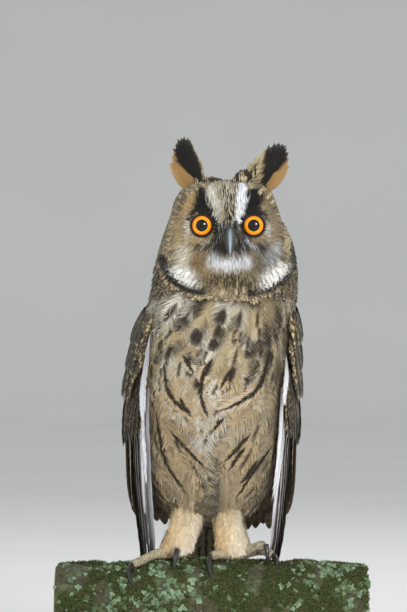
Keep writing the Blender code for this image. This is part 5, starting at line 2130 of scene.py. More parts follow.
@dataclass(frozen=True)
class Bough:
    """The branch's form, which the toes and claws lie on."""

    radius: float = 0.040
    length: float = 0.260
    setback: float = -0.008
    drop_right: float = 0.006
    drop_left: float = 0.003
    taper: float = 0.0015
    knobs: float = 0.0007

    def point(self, x: Array, degrees: Array, out: Array) -> Array:
        """Places at a height above the bark; 0 degrees is the top and 90 the front.

        Args:
            x: Places along the branch.
            degrees: Turns round it.
            out: Heights above the bark.

        Returns:
            The places.
        """
        share = x / (self.length / 2)
        drop = np.where(x < 0, self.drop_right, self.drop_left) * share**2
        turn = np.radians(degrees)
        knobs = np.sin(3 * turn + 5 * share) + np.sin(2 * turn - 8 * share) - np.sin(5 * share)
        radius = self.radius - self.taper * share + self.knobs * knobs + out
        height = radius * np.cos(turn) - self.radius - drop
        return np.stack([x + 0 * turn, self.setback - radius * np.sin(turn), height], -1)


def curve_through(points: Array, steps: int) -> Array:
    """Places on a smooth curve through the given ones.

    Args:
        points: The places.
        steps: How many from each to the next.

    Returns:
        The curve's places.
    """
    ends = np.vstack([2 * points[0] - points[1], points, 2 * points[-1] - points[-2]])
    t = np.arange(steps)[:, None] / steps
    found = []
    for before, start, end, after in zip(ends, ends[1:], ends[2:], ends[3:]):
        bend, twist = 2 * before - 5 * start + 4 * end - after, 3 * start - before - 3 * end + after
        found.append(start + 0.5 * ((end - before) * t + bend * t**2 + twist * t**3))
    return np.vstack(found + [points[-1:]])


def capped(rings: Array, middles: Array) -> tuple[Array, Array]:
    """Closes a row of rings at both ends.

    Args:
        rings: Rings of points, all with as many.
        middles: The middles of the first and the last ring.

    Returns:
        The form's points and triangles.
    """
    rows, sides = rings.shape[:2]
    count, step = rows * sides, np.arange(sides)
    ahead, last = (step + 1) % sides, count - sides
    low = np.stack([np.full(sides, count), ahead, step], -1)
    high = np.stack([np.full(sides, count + 1), last + step, last + ahead], -1)
    faces = [grid_faces(rows, sides, closed=True), low, high]
    return np.vstack([rings.reshape(-1, 3), middles]), np.concatenate(faces)


def tube(path: Array, radii: Array, sides: int, flat: float = 1.0) -> tuple[Array, Array]:
    """A closed tube along a path.

    Args:
        path: Its middle line.
        radii: A radius for each place on it.
        sides: How many sides it has.
        flat: Its height as a share of its width.

    Returns:
        Its points and triangles.
    """
    way = unit(np.gradient(path, axis=0))
    sideways = unit(np.cross(way, (0.0, 0.0, 1.0)))
    up = np.cross(sideways, way)
    turn = np.linspace(0, 2 * math.pi, sides, endpoint=False)
    rings = path[:, None] + radii[:, None, None] * (
        sideways[:, None] * np.cos(turn)[None, :, None] + up[:, None] * np.sin(turn)[None, :, None] * flat
    )
    return capped(rings, path[[0, -1]])


Joint = tuple[float, float, float]


@dataclass
class Foot:
    """One leg with its feathered toes and its claws."""

    side: Side
    bough: Bough
    stations: tuple[tuple[float, ...], ...]
    ankle: Joint
    toes: dict[str, tuple[Joint, ...]]
    claws: dict[str, tuple[Joint, ...]]
    depth: float = 0.0030
    toe_radius: float = 0.0052
    toe_depth: float = 0.0005
    claw_radius: float = 0.0021
    hem: tuple[tuple[float, float], ...] = ((0.0, 0.0), (0.0, 0.0))
    skirt: tuple[tuple[float, float], ...] = ((0.059, 0.029), (0.066, 0.035), (0.073, 0.042), (0.081, 0.052))
    body: Envelope = field(default_factory=lambda: Envelope(BODY_CUTS))
    layers: tuple[tuple[float, float], ...] = ((0.026, 0.005), (0.036, 0.012), (0.047, 0.022), (0.058, 0.032))
    leg_rows: int = 24
    leg_sides: int = 40
    claw_sides: int = 20
    strands: int = 9
    leg_tufts: int = 5000
    toe_tufts: int = 900

    def leg_form(self) -> tuple[Array, Array]:
        """The leg's bare form, inside its coat.

        Returns:
            Its points and triangles.
        """
        rows = np.array(self.stations)
        heights = np.linspace(rows[0, 0] + 0.001, rows[-1, 0], self.leg_rows)
        x, y, half, deep = (np.interp(heights, rows[:, 0], rows[:, k]) for k in range(1, 5))
        turn = np.linspace(0, 2 * math.pi, self.leg_sides, endpoint=False)
        across = x[:, None] + (half - self.depth)[:, None] * np.sin(turn)
        ahead = y[:, None] - (deep - self.depth)[:, None] * np.cos(turn)
        rings = np.stack([across, ahead, np.broadcast_to(heights[:, None], across.shape)], -1)
        return capped(rings, rings.mean(axis=1)[[0, -1]])

    def toe_forms(self) -> list[tuple[Array, Array]]:
        """The toes' bare forms, each from the ankle to its claw.

        Returns:
            The points and triangles of each.
        """
        made = []
        for joints in self.toes.values():
            path = curve_through(self._on_bark((self.ankle, *joints)), 8)
            share = np.linspace(0, 1, len(path))
            radii = self.toe_radius * (1 - 0.25 * share) - self.toe_depth
            radii = radii * (1 + 0.06 * np.sin(share * 3 * math.pi)) * np.clip((1.03 - share) / 0.05, 0.75, 1)
            made.append(tube(path, radii, 18))
        return made

    def _on_bark(self, joints: Iterable[Joint]) -> Array:
        """Joints as places."""
        return np.array([self.bough.point(np.array(x), np.array(d), np.array(out)) for x, d, out in joints])

    def build_claws(self, finish: bpy.types.Material) -> None:
        """Makes each claw as its own piece.

        Args:
            finish: The horn.
        """
        for word, joints in self.claws.items():
            path = curve_through(self._on_bark(joints), 9)
            path = np.vstack([path[0] + (path[0] - path[3]) * 1.2, path])
            share = np.linspace(0, 1, len(path))
            radii = self.claw_radius * 1.05 * (1 - 0.92 * share**1.5)
            points, faces = tube(path, radii, self.claw_sides, 1.12)
            work = Patchwork()
            vane = np.zeros((len(points), 3))
            vane[:-2, 1] = np.repeat(share, self.claw_sides)
            vane[-1, 1] = 1
            work.add(points, faces, np.array(tone(40, 40, 42)), vane, np.zeros(3), points[:, :2] * 4 + 0.5)
            node = f"claw_{self.side.word}_{word}"
            settle(work.build(node + "_horn", finish), (node,))

    def build_coat(self, finish: bpy.types.Material) -> None:
        """Makes the short tufts of the leg and of the toes.

        Args:
            finish: The plumage.
        """
        draw = Source.FOOT.draw(self.side.value)
        leg = Surface(*self.leg_form())
        work = Patchwork()
        roots = leg.pick(self.leg_tufts, lambda p: p[:, 2] < 0.058, draw)
        long = draw.uniform(0.7, 1.3, len(roots)) * np.interp(roots[:, 2], (0.005, 0.05), (0.007, 0.017))
        lines = Combed.lay(leg, roots, self._down, long, 3)
        HairKind(0.0008, 0.0036, 0.0010).grow(lines, self._leg_tint, self._spots(roots), draw, work)
        self._hang(draw, work)
        settle(work.build(f"coat_leg_{self.side.word}", finish), ("leg_" + self.side.word,))
        work = Patchwork()
        for joints, form in zip(self.toes.values(), self.toe_forms()):
            toe = Surface(*form)
            path = curve_through(self._on_bark((self.ankle, *joints)), 8)
            way = unit(path[-1] - path[0])
            forward = partial(self._forward, way)
            roots = toe.pick(self.toe_tufts, lambda p: p[:, 2] > -1, draw)
            lines = Combed.lay(toe, roots, forward, draw.uniform(0.003, 0.006, len(roots)), 2)
            HairKind(0.0007, 0.0021, 0.0007).grow(lines, self._toe_tint, self._spots(roots), draw, work)
        settle(work.build(f"coat_toes_{self.side.word}", finish), ("foot_" + self.side.word,))

    def _down(self, places: Array, normals: Array) -> Array:
        """The way that the leg's coat runs."""
        return np.broadcast_to((0.0, -0.25, -1.0), places.shape)

    def _forward(self, way: Array, places: Array, normals: Array) -> Array:
        """The way that a toe's coat runs, with the toe's own direction given first."""
        return np.broadcast_to(way - (0, 0, 0.35), places.shape)

    def _leg_tint(self, points: Array, fates: Array) -> Array:
        """The colours of the leg's coat: warm on the image's left, cream on its right.

        Args:
            points: The places.
            fates: A random value for each.

        Returns:
            The colours.
        """
        middle = np.interp(points[:, 2], [row[0] for row in self.stations], [row[1] for row in self.stations])
        warm = ease(0.006, -0.006, points[:, 0] - middle + 0.004 * ripple(points, 0.012, 31))
        cream = blend(tone(240, 228, 204), tone(226, 194, 144), warm * 0.9)
        cream = blend(cream, tone(200, 182, 148), ease(0.026, 0.048, points[:, 2]) * 0.7)
        return cream * (0.80 + 0.3 * fates)[:, None]

    def _toe_tint(self, points: Array, fates: Array) -> Array:
        """The colours of the toes' coat: cream by the leg, mottled grey-green towards the claws.

        Args:
            points: The places.
            fates: A random value for each.

        Returns:
            The colours.
        """
        mottled = ease(-0.4, 0.3, ripple(points, 0.005, 32) + (fates - 0.5) * 0.8)
        ends = ease(0.2, 1.2, np.abs(points[:, 0] - self.stations[0][1]) / 0.02)
        pale = blend(tone(138, 140, 116), tone(214, 194, 162), 1 - ends)
        mixed = blend(pale, tone(66, 70, 52), mottled * (0.40 + 0.5 * ends))
        return mixed * (0.75 + 0.35 * fates)[:, None]

    def _hang(self, draw: np.random.Generator, work: Patchwork) -> None:
        """Adds the loose feathers that hang over the leg in layers, wider towards the foot.

        Args:
            draw: The random source.
            work: Where the triangles go.
        """
        rows, count = np.array(self.stations), self.strands
        along = np.linspace(0, 1, 6)
        (high_left, high_right), (low_left, low_right) = self.hem
        for number, (top, bottom) in enumerate(self.layers + self.skirt):
            over = number >= len(self.layers)
            share = np.arange(count) + 0.5 * (number % 2) + draw.uniform(0.1, 0.4, count)
            share = share / (count + 0.4)
            heights = top + (bottom + draw.uniform(-0.002, 0.003, count)[:, None] - top) * along
            rise = np.clip((heights - 0.008) / 0.042, 0, 1)
            left = low_left + (high_left - low_left) * rise
            right = low_right + (high_right - low_right) * rise
            flare = 0.009 * np.clip((heights - 0.042) / 0.025, 0, 1) * over
            outward = flare * self.side.value
            left, right = left + np.minimum(outward, 0), right + np.maximum(outward, 0)
            across = left + (right - left) * share[:, None]
            depth = np.interp(heights, rows[:, 0], rows[:, 2]), np.interp(heights, rows[:, 0], rows[:, 4])
            round_off = np.sqrt(np.clip(1 - (1.7 * (share[:, None] - 0.5)) ** 2, 0, 1))
            ahead = depth[0] - (depth[1] + 0.0004 * min(number, 3)) * round_off
            if over:
                x, y, half, front, _ = self.body.sizes(heights)
                round_body = (1 - np.clip(np.abs((across - x) / half), 0, 0.98) ** 2.25) ** (1 / 2.25)
                ahead = np.minimum(ahead, y - front * round_body + 0.0010)
            points = np.stack([across, ahead, heights], -1)
            facing, up = np.full(count, -1.0), np.full(count, -0.35 * over)
            normals = unit(np.stack([2 * (share - 0.5), facing, up], -1))
            lines = Combed(points, np.repeat(normals[:, None], 6, axis=1))
            fates = draw.random(count)
            tint = self._leg_tint(points[:, 3], fates)
            if over:
                drab = np.array(tone(190, 172, 140)) * (0.72 + 0.36 * fates)[:, None]
                tint = blend(drab, tint, ease(0.062, 0.042, heights[:, 3]))
            kind = FeatherKind(0.0054 if over else 0.0044, 30, 0.42, 0.0010, 0.28, 0.0006)
            kind.grow(lines, tint, np.zeros((count, 3)), self._spots(points[:, 0]), draw, work)

    def _spots(self, roots: Array) -> Array:
        """Places on the unwrap for the leg's tufts.

        Args:
            roots: Where the tufts root.

        Returns:
            Their places on the unwrap.
        """
        x, y, _, _ = self.stations[2][1:]
        around = np.degrees(np.arctan2(roots[:, 0] - x, -(roots[:, 1] - y))) % 360 / 360
        return np.stack([around, np.clip(roots[:, 2] / 0.07 * 0.1 + 0.02, 0, 1)], -1)


@dataclass
class Skin:
    """The bare skin of body, head, legs and toes, fused into one surface."""

    hide: Hide
    feet: tuple[Foot, ...]
    finish: bpy.types.Material
    face: FaceMarks = FaceMarks()
    ruff: RuffMarks = RuffMarks()
    body: BodyMarks = BodyMarks()
    grain: float = 0.0015
    leg_top: float = 0.034
    leg_back: float = 0.016
    shade: float = 0.8

    def build(self) -> None:
        """Joins the forms, fuses them and colours the skin as its coat."""
        forms = [(self.hide.points, self.hide.faces)]
        for foot in self.feet:
            forms += [foot.leg_form(), *foot.toe_forms()]
        points, faces, count = [], [], 0
        for places, triangles in forms:
            points.append(places)
            faces.append(triangles + count)
            count += len(places)
        rough = bpy.data.meshes.new("skin_forms")
        rough.from_pydata(np.concatenate(points).tolist(), [], np.concatenate(faces).tolist())
        holder = bpy.data.objects.new("skin_forms", rough)
        bpy.context.scene.collection.objects.link(holder)
        fuse = holder.modifiers.new("fuse", "REMESH")
        fuse.mode = "VOXEL"
        fuse.voxel_size = self.grain
        bpy.context.view_layer.update()
        made = holder.evaluated_get(bpy.context.evaluated_depsgraph_get()).to_mesh()
        made.calc_loop_triangles()
        places = np.empty(len(made.vertices) * 3)
        made.vertices.foreach_get("co", places)
        triangles = np.empty(len(made.loop_triangles) * 3, np.int32)
        made.loop_triangles.foreach_get("vertices", triangles)
        bpy.data.objects.remove(holder)
        places, triangles = places.reshape(-1, 3), triangles.reshape(-1, 3)
        work = Patchwork()
        tint, marks = self._colours(places)
        vane = np.broadcast_to((0.9, 0.5, 0.5), places.shape)
        work.add(places, triangles, tint, vane, marks, self.hide.unwrap(places))
        nodes = ["torso", "neck", "head"]
        nodes += [f"{part}_{foot.side.word}" for foot in self.feet for part in ("leg", "foot")]
        settle(work.build("skin", self.finish), nodes)

    def _colours(self, points: Array) -> tuple[Array, Array]:
        """The skin's colours and marks, the same as those of the coat over it.

        Args:
            points: The places.

        Returns:
            A colour and the three marks for each.
        """
        fates = np.full(len(points), 0.35)
        tint = self.body.marked(points, fates)
        rim = self.hide.rim(points)
        tint = np.where((rim < 1.14)[:, None], self.ruff.tint(points, fates), tint)
        tint = np.where((rim < 0.97)[:, None], self.face.tint(points, fates), tint)
        legs = (points[:, 2] < self.leg_top) & (points[:, 1] < self.leg_back)
        tint = np.where(legs[:, None], np.array(tone(200, 186, 154)), tint)
        marks = self.body.marks(points, fates) * (0, 0.5, 0.8)
        return tint * self.shade, np.where((rim < 1.14)[:, None] | legs[:, None], 0.0, marks)


@dataclass(frozen=True)
class EyeFinish:
    """A wet eye: black pupil, orange iris with dark fibres and rim."""

    pupil: float = 0.0050
    iris: float = 0.00806
    inner: Colour = tone(255, 172, 20)
    outer: Colour = tone(240, 128, 6)
    fibre: Colour = tone(150, 66, 10)
    black: Colour = tone(8, 7, 6)
    tear_index: float = 1.33

    def build(self, name: str, centre: tuple[float, float, float]) -> bpy.types.Material:
        """Makes the material for an eye with its middle there.

        Args:
            name: The material's name.
            centre: The eye's middle.

        Returns:
            The material.
        """
        material, wiring, shader = new_material(name)
        offset = wiring.node("VectorMath", operation="SUBTRACT")
        wiring.feed(offset.inputs[0], wiring.place())
        offset.inputs[1].default_value = centre
        x, _, z = wiring.parts(offset.outputs[0])
        far = wiring.sum("SQRT", wiring.sum("MULTIPLY_ADD", x, x, wiring.sum("MULTIPLY", z, z)))
        turn = wiring.sum("ARCTAN2", x, z)
        spoke = wiring.node("CombineXYZ")
        wiring.feed(spoke.inputs[0], wiring.sum("SINE", turn))
        wiring.feed(spoke.inputs[1], wiring.sum("COSINE", turn))
        wiring.feed(spoke.inputs[2], wiring.sum("MULTIPLY", far, 60.0))
        fibre = wiring.noise(16.0, 3.0, spoke.outputs[0])
        share = wiring.ease(far, self.pupil, self.iris)
        colour = wiring.mix(share, self.inner, self.outer)
        colour = wiring.mix(wiring.ease(fibre, 0.45, 0.7, 0.35), colour, self.fibre)
        pupil = wiring.fall(far, self.pupil - 0.0002, self.pupil + 0.0002)
        rim = wiring.ease(far, self.iris - 0.0006, self.iris + 0.0001)
        colour = wiring.mix(wiring.sum("MAXIMUM", pupil, rim), colour, self.black)
        wiring.give(shader, Base_Color=colour, Roughness=0.45, Specular_IOR_Level=0.1)
        wiring.give(shader, Coat_Weight=1.0, Coat_IOR=self.tear_index, Coat_Roughness=0.02)
        return material


@dataclass
class Eye:
    """One eyeball with its lids."""

    side: Side
    lid_finish: bpy.types.Material
    radius: float = 0.0115
    opening: float = 0.0093
    rows: int = 49
    sides: int = 96
    lid_sides: int = 72

    def build(self) -> None:
        """Makes the ball and the ring of the lids."""
        centre = (FACE_CENTRE + self.side.value * EYE_SPREAD, EYE_DEPTH, EYE_HEIGHT)
        turn = np.linspace(0, 2 * math.pi, self.sides, endpoint=False)
        tilt = np.linspace(0.01, math.pi - 0.01, self.rows)
        sine, cosine = np.sin(tilt)[:, None], np.cos(tilt)[:, None]
        rings = np.stack([sine * np.cos(turn), -cosine * np.ones(self.sides), sine * np.sin(turn)], -1)
        points = rings.reshape(-1, 3) * self.radius + centre
        work = Patchwork()
        spot = np.broadcast_to((0.5, 0.9), (len(points), 2))
        faces = grid_faces(self.rows, self.sides, closed=True)
        work.add(points, faces, np.array(Tint.SOOT), np.zeros(3), np.zeros(3), spot)
        seen = (centre[0], centre[1], centre[2] + PERCH_TOP)
        node = "eye_" + self.side.word
        ball = work.build(node + "_ball", EyeFinish().build("eye " + self.side.word, seen))
        settle(ball, (node,))
        self._lids(centre)

    def _lids(self, centre: tuple[float, float, float]) -> None:
        """Makes the lids: a soft ring that rises from the face to the eye's opening.

        Args:
            centre: The eye's middle.
        """
        plane = EYE_DEPTH - math.sqrt(self.radius**2 - self.opening**2)
        profile = np.array(
            [(0.0088, 0.0010), (0.0089, -0.0004), (0.0091, -0.0008), (0.0094, -0.0007), (0.0097, -0.0001),
             (0.0101, 0.0009), (0.0106, 0.0022)]
        )
        turn = np.linspace(0, 2 * math.pi, self.lid_sides, endpoint=False)
        brow = 1 - 0.045 * np.clip(np.sin(turn), 0, 1) ** 2
        rings = []
        for reach, out in profile:
            across, up = centre[0] + reach * np.cos(turn), centre[2] + reach * np.sin(turn) * brow
            rings.append(np.stack([across, np.full(len(turn), plane + out), up], -1))
        work = Patchwork()
        spot = np.broadcast_to((0.5, 0.9), (len(turn) * len(profile), 2))
        faces = grid_faces(len(profile), len(turn), closed=True)[:, ::-1]
        work.add(np.vstack(rings), faces, np.array(tone(26, 23, 21)), np.zeros(3), np.zeros(3), spot)
        settle(work.build("lids_" + self.side.word, self.lid_finish), ("head",))


@dataclass
class Bill:
    """The hooked upper bill over the lower one."""

    finish: bpy.types.Material
    x: float = FACE_CENTRE + 0.0018
    upper: tuple[tuple[float, ...], ...] = (
        (-0.0360, 0.2750, 0.0044, 0.0046),
        (-0.0435, 0.2738, 0.0050, 0.0054),
        (-0.0500, 0.2700, 0.0048, 0.0056),
        (-0.0545, 0.2645, 0.0040, 0.0045),
        (-0.0562, 0.2598, 0.0028, 0.0031),
        (-0.0560, 0.2562, 0.0017, 0.0018),
        (-0.0552, 0.2540, 0.0006, 0.0006),
    )
    lower: tuple[tuple[float, ...], ...] = (
        (-0.0360, 0.2640, 0.0040, 0.0030),
        (-0.0430, 0.2625, 0.0042, 0.0030),
        (-0.0480, 0.2600, 0.0036, 0.0024),
        (-0.0510, 0.2575, 0.0020, 0.0014),
    )
    sides: int = 32

    def build(self) -> None:
        """Makes both halves."""
        self._half("bill_upper", self.upper, True)
        self._half("bill_lower", self.lower, False)

    def _half(self, node: str, stations: tuple[tuple[float, ...], ...], ridged: bool) -> None:
        """Makes one half, with a painted highlight along the ridge and painted shade in the nostrils on the
        upper one.

        Args:
            node: The half's node.
            stations: Places along Y and Z, with the half width and depth.
            ridged: Whether it has the ridge with its painted highlight, and the nostrils with their painted
                shade.
        """
        rows = curve_through(np.array(stations), 6)
        path = np.column_stack([np.full(len(rows), self.x), rows[:, :2]])
        way = unit(np.gradient(path, axis=0))
        up = np.cross((1.0, 0.0, 0.0), way)
        turn = np.linspace(0, 2 * math.pi, self.sides, endpoint=False)
        half, deep = rows[:, 2, None], rows[:, 3, None]
        over = np.cos(turn)
        top = np.clip(-over, 0, 1)
        narrow = 1 - 0.30 * top**3 * ridged
        across = np.sin(turn) * half * narrow
        rings = path[:, None] + across[..., None] * (1.0, 0, 0) + up[:, None] * (over * deep)[..., None]
        points = rings.reshape(-1, 3)
        dents = np.zeros(len(points))
        for side in Side:
            place = np.array((self.x + side.value * 0.0047, -0.0485, 0.2712))
            dents += np.exp(-((np.linalg.norm(points - place, axis=-1) / 0.0014) ** 2)) * ridged
        points = points - (points - np.repeat(path, self.sides, axis=0)) * (dents * 0.22)[:, None]
        # painted highlight: a pale blue-grey line along the top of the upper bill, where the light catches
        # its ridge
        ridge = np.tile(top**12, len(rows)) * ridged
        along = np.repeat(np.linspace(0, 1, len(rows)), self.sides)
        shown = ridge * ease(0.15, 0.4, along) * ease(1.02, 0.85, along)
        tint = blend(tone(46, 56, 61), tone(150, 166, 176), shown)
        # painted shade: near black in the nostrils' dents, standing in for the dark inside of the holes
        tint = blend(tint, tone(8, 8, 8), np.clip(dents, 0, 1))
        work = Patchwork()
        vane = np.stack([0 * along, along, 0 * along], -1)
        work.add(points, grid_faces(len(rows), self.sides, closed=True), tint, vane, np.zeros(3),
                 np.stack([0.5 + 0 * along, along], -1))
        settle(work.build(node + "_horn", self.finish), (node,))


@dataclass(frozen=True)
class HornFinish:
    """Hard horn with fine growth lines, over the tint that its mesh carries."""

    name: str
    roughness: float = 0.32
    line: Colour = tone(92, 90, 84)
    line_scale: float = 900.0
    wear_scale: float = 160.0

    def build(self) -> bpy.types.Material:
        """Makes the material.

        Returns:
            The material.
        """
        material, wiring, shader = new_material(self.name)
        grain = wiring.noise(self.line_scale, 4.0)
        rough = wiring.sum("MULTIPLY_ADD", wiring.noise(self.wear_scale, 3.0), 0.25, self.roughness - 0.1)
        colour = wiring.mix(wiring.ease(grain, 0.45, 0.75, 0.3), wiring.attribute("tint", "Color"), self.line)
        wiring.give(shader, Base_Color=colour, Roughness=rough, Coat_Weight=0.25)
        wiring.bump(shader, grain, 0.3, 0.0002)
        return material


@dataclass
class Branch:
    """The mossy branch: rough bark with lichen, and moss over it."""

    bough: Bough
    rings: int = 300
    sides: int = 180
    moss_count: int = 38000
    lichen_count: int = 1100
    crowds: tuple[tuple[float, float], ...] = ((-0.050, 0.042), (0.104, 0.026))

    def build(self) -> None:
        """Makes the bark and the moss."""
        half = self.bough.length / 2
        x = np.linspace(-half, half, self.rings)[:, None] * np.ones(self.sides)
        degrees = np.linspace(0, 360, self.sides, endpoint=False) * np.ones((self.rings, 1))
        plain = self.bough.point(x, degrees, np.zeros(x.shape))
        stretched = plain * (0.45, 1, 1)
        cracks = np.abs(ripple(stretched, 0.011, 41)) + 0.5 * np.abs(ripple(stretched, 0.006, 42))
        rough = ripple(plain, 0.004, 43) * 0.00035 + ripple(plain, 0.0019, 44) * 0.0002
        moss = self._moss(plain.reshape(-1, 3)).reshape(x.shape)
        out = -0.0013 * ease(0.35, 0.0, cracks) + rough + 0.0010 * moss
        ends = ease(half, half - 0.002, np.abs(x))
        points = self.bough.point(x, degrees, out * ends - 0.0012 * (1 - ends)).reshape(-1, 3)
        faces = grid_faces(self.rings, self.sides, closed=True)
        rings = points.reshape(self.rings, self.sides, 3)
        all_points, triangles = capped(rings, rings[[0, -1]].mean(axis=1))
        work, count = Patchwork(), len(points)
        vane = np.zeros((count + 2, 3))
        # the cracks' mask, which the bark's finish darkens, partly with painted shade
        vane[:count, 0] = ease(0.30, 0.0, cracks).ravel()
        vane[:count, 1] = moss.ravel()
        vane[:, 2] = np.abs(all_points[:, 0]) > half - 0.0004
        spot = np.stack([np.append(degrees.ravel() / 360, (0, 0)), all_points[:, 0] * 3 + 0.5], -1)
        work.add(all_points, triangles, np.array(tone(90, 84, 70)), vane, np.zeros(3), spot)
        settle(work.build("branch_bark", BarkFinish().build()), ("perch_branch",))
        bark = Surface(points, faces)
        self._grow_moss(bark)
        self._grow_lichen(bark)

    def _lichen(self, points: Array) -> Array:
        """How likely lichen is at some places: in two crowds, and thinly between them.

        Args:
            points: The places.

        Returns:
            How likely, from 0 up.
        """
        crowd = np.zeros(len(points))
        for middle, width in self.crowds:
            crowd = crowd + np.exp(-(((points[:, 0] - middle) / width) ** 2))
        seen = ease(-0.075, -0.030, points[:, 2])
        return (0.06 + crowd) * seen * ease(-0.5, 0.3, ripple(points, 0.020, 46))

    def _grow_lichen(self, bark: Surface) -> None:
        """Makes the lichen as small crumpled rosettes that lie on the bark.

        Args:
            bark: The bark's surface.
        """
        draw = Source.LICHEN.draw()
        roots = bark.pick(self.lichen_count, self._lichen, draw)
        place, normal = bark.nearest(roots)
        sides, rings = 16, np.array((0.0, 0.4, 0.75, 1.0))
        turn = np.linspace(0, 2 * math.pi, sides, endpoint=False)
        faces = grid_faces(len(rings), sides, closed=True)
        dark, light = tone(88, 112, 78), tone(148, 176, 142)
        work = Patchwork()
        for at, up in zip(place, normal):
            size = draw.uniform(0.0009, 0.0036) * draw.uniform(0.6, 1.0)
            first = unit(np.cross(up, (0.0, 0.3, 1.0)))
            second = np.cross(up, first)
            lobes = np.sin(turn * draw.integers(3, 6) + draw.uniform(0, 6))
            edge = 1 + 0.28 * lobes + draw.uniform(-0.26, 0.26, sides)
            reach = rings[:, None] * edge * size
            height = 0.0010 + draw.uniform(-0.0006, 0.0010, (len(rings), sides)) * (rings[:, None] < 1)
            height[-1] = 0.0002
            points = at + (reach * np.cos(turn))[..., None] * first
            points = points + (reach * np.sin(turn))[..., None] * second
            points = (points + height[..., None] * up).reshape(-1, 3)
            shade = blend(dark, light, np.full(len(points), draw.random() ** 1.3))
            shade = shade * draw.uniform(0.8, 1.15, (len(points), 1))
            spot = np.broadcast_to((math.atan2(at[1], at[2]) / 7 + 0.5, at[0] * 3 + 0.5), (len(points), 2))
            work.add(points, faces, shade, np.zeros(3), np.zeros(3), spot)
        made = work.build("branch_lichen", SkinFinish("lichen", 0.95).build())
        settle(made, ("perch_branch",))

    def _green(self, points: Array, fates: Array) -> Array:
        """The moss's colours, from dark to light olive."""
        return blend(tone(44, 56, 26), tone(100, 118, 54), fates**1.5 * 0.9)

    def _moss(self, points: Array) -> Array:
        """How thick the moss is at some places: thicker towards the owl's left and on top."""
        up = ease(-0.060, -0.010, points[:, 2])
        return ease(-0.75, 0.35, ripple(points, 0.030, 45) + points[:, 0] * 2.5) * (0.25 + 0.75 * up)

    def _grow_moss(self, bark: Surface) -> None:
        """Makes the moss as fine upright tufts.

        Args:
            bark: The bark's surface.
        """
        draw = Source.MOSS.draw()
        roots = bark.pick(self.moss_count, lambda p: self._moss(p) > 0.35, draw)
        angle = draw.uniform(0, 2 * math.pi, len(roots))
        loose = np.stack([np.cos(angle), np.sin(angle), 0.3 * np.sin(angle * 3)], -1)
        lengths = draw.uniform(0.0012, 0.0026, len(roots))
        lines = Combed.lay(bark, roots, lambda places, normals: loose, lengths, 2)
        work = Patchwork()
        spots = np.stack([np.arctan2(roots[:, 1], roots[:, 2]) / 7 + 0.5, roots[:, 0] * 3 + 0.5], -1)
        HairKind(0.0004, 0.0016, 0.0006).grow(lines, self._green, spots, draw, work)
        settle(work.build("branch_moss", MossFinish().build()), ("perch_branch",))


@dataclass(frozen=True)
class BarkFinish:
    """Grey-brown bark with lichen, green film and pale cut ends, and cracks that are dark in their own colour
    and deepened with painted shade.
    """

    bark: Colour = tone(86, 82, 58)
    crack: Colour = tone(20, 20, 13)
    # the cracks' dark: their own colour, deepened with painted shade
    film: Colour = tone(84, 94, 50)
    lichen: Colour = tone(112, 132, 100)
    shade: Colour = tone(46, 46, 30)
    wood: tuple[Colour, Colour] = (tone(176, 146, 104), tone(146, 114, 76))
    ring_scale: float = 90.0
    flake_scale: float = 120.0

    def build(self) -> bpy.types.Material:
        """Makes the material.

        Returns:
            The material.
        """
        material, wiring, shader = new_material("bark")
        crack, moss, cut = wiring.parts(wiring.attribute("vane", "Vector"))
        fine, broad = wiring.noise(900.0, 5.0), wiring.noise(90.0, 4.0)
        patch = wiring.node("TexVoronoi")
        patch.inputs["Scale"].default_value = self.flake_scale
        spread_out = wiring.sum("ADD", broad, wiring.sum("MULTIPLY", patch.outputs["Distance"], -0.35))
        flake = wiring.ease(spread_out, 0.36, 0.44)
        colour = wiring.mix(wiring.ease(fine, 0.3, 0.7), self.shade, self.bark)
        colour = wiring.mix(wiring.sum("MULTIPLY", flake, 0.4), colour, self.lichen)
        green = wiring.ease(wiring.sum("ADD", moss, broad), 0.5, 1.2, 0.85)
        colour = wiring.mix(green, colour, self.film)
        # painted shade: the cracks go near black, over their own darker colour
        colour = wiring.mix(wiring.sum("MULTIPLY", crack, 0.8), colour, self.crack)
        rings = wiring.node("TexWave", wave_type="RINGS", rings_direction="X")
        wiring.give(rings, Scale=self.ring_scale, Distortion=2.0)
        end = wiring.mix(rings.outputs["Fac"], *self.wood)
        wiring.give(shader, Base_Color=wiring.mix(cut, colour, end), Roughness=0.92)
        wiring.bump(shader, wiring.sum("ADD", fine, wiring.sum("MULTIPLY", flake, 0.4)), 0.6, 0.0008)
        return material


@dataclass(frozen=True)
class MossFinish:
    """Moss over the tint that its mesh carries, darker at its roots."""

    root: Colour = tone(40, 44, 22)
    dry: Colour = tone(96, 86, 46)
    patch_scale: float = 220.0

    def build(self) -> bpy.types.Material:
        """Makes the material.

        Returns:
            The material.
        """
        material, wiring, shader = new_material("moss")
        tint = wiring.attribute("tint", "Color")
        tips = wiring.ease(wiring.parts(wiring.attribute("vane", "Vector"))[1], 0.2, 0.9)
        patchy = wiring.ease(wiring.noise(self.patch_scale, 3.0), 0.35, 0.65)
        top = wiring.mix(0.35, tint, wiring.mix(patchy, tint, self.dry))
        wiring.give(shader, Base_Color=wiring.mix(tips, self.root, top), Roughness=0.9)
        return material


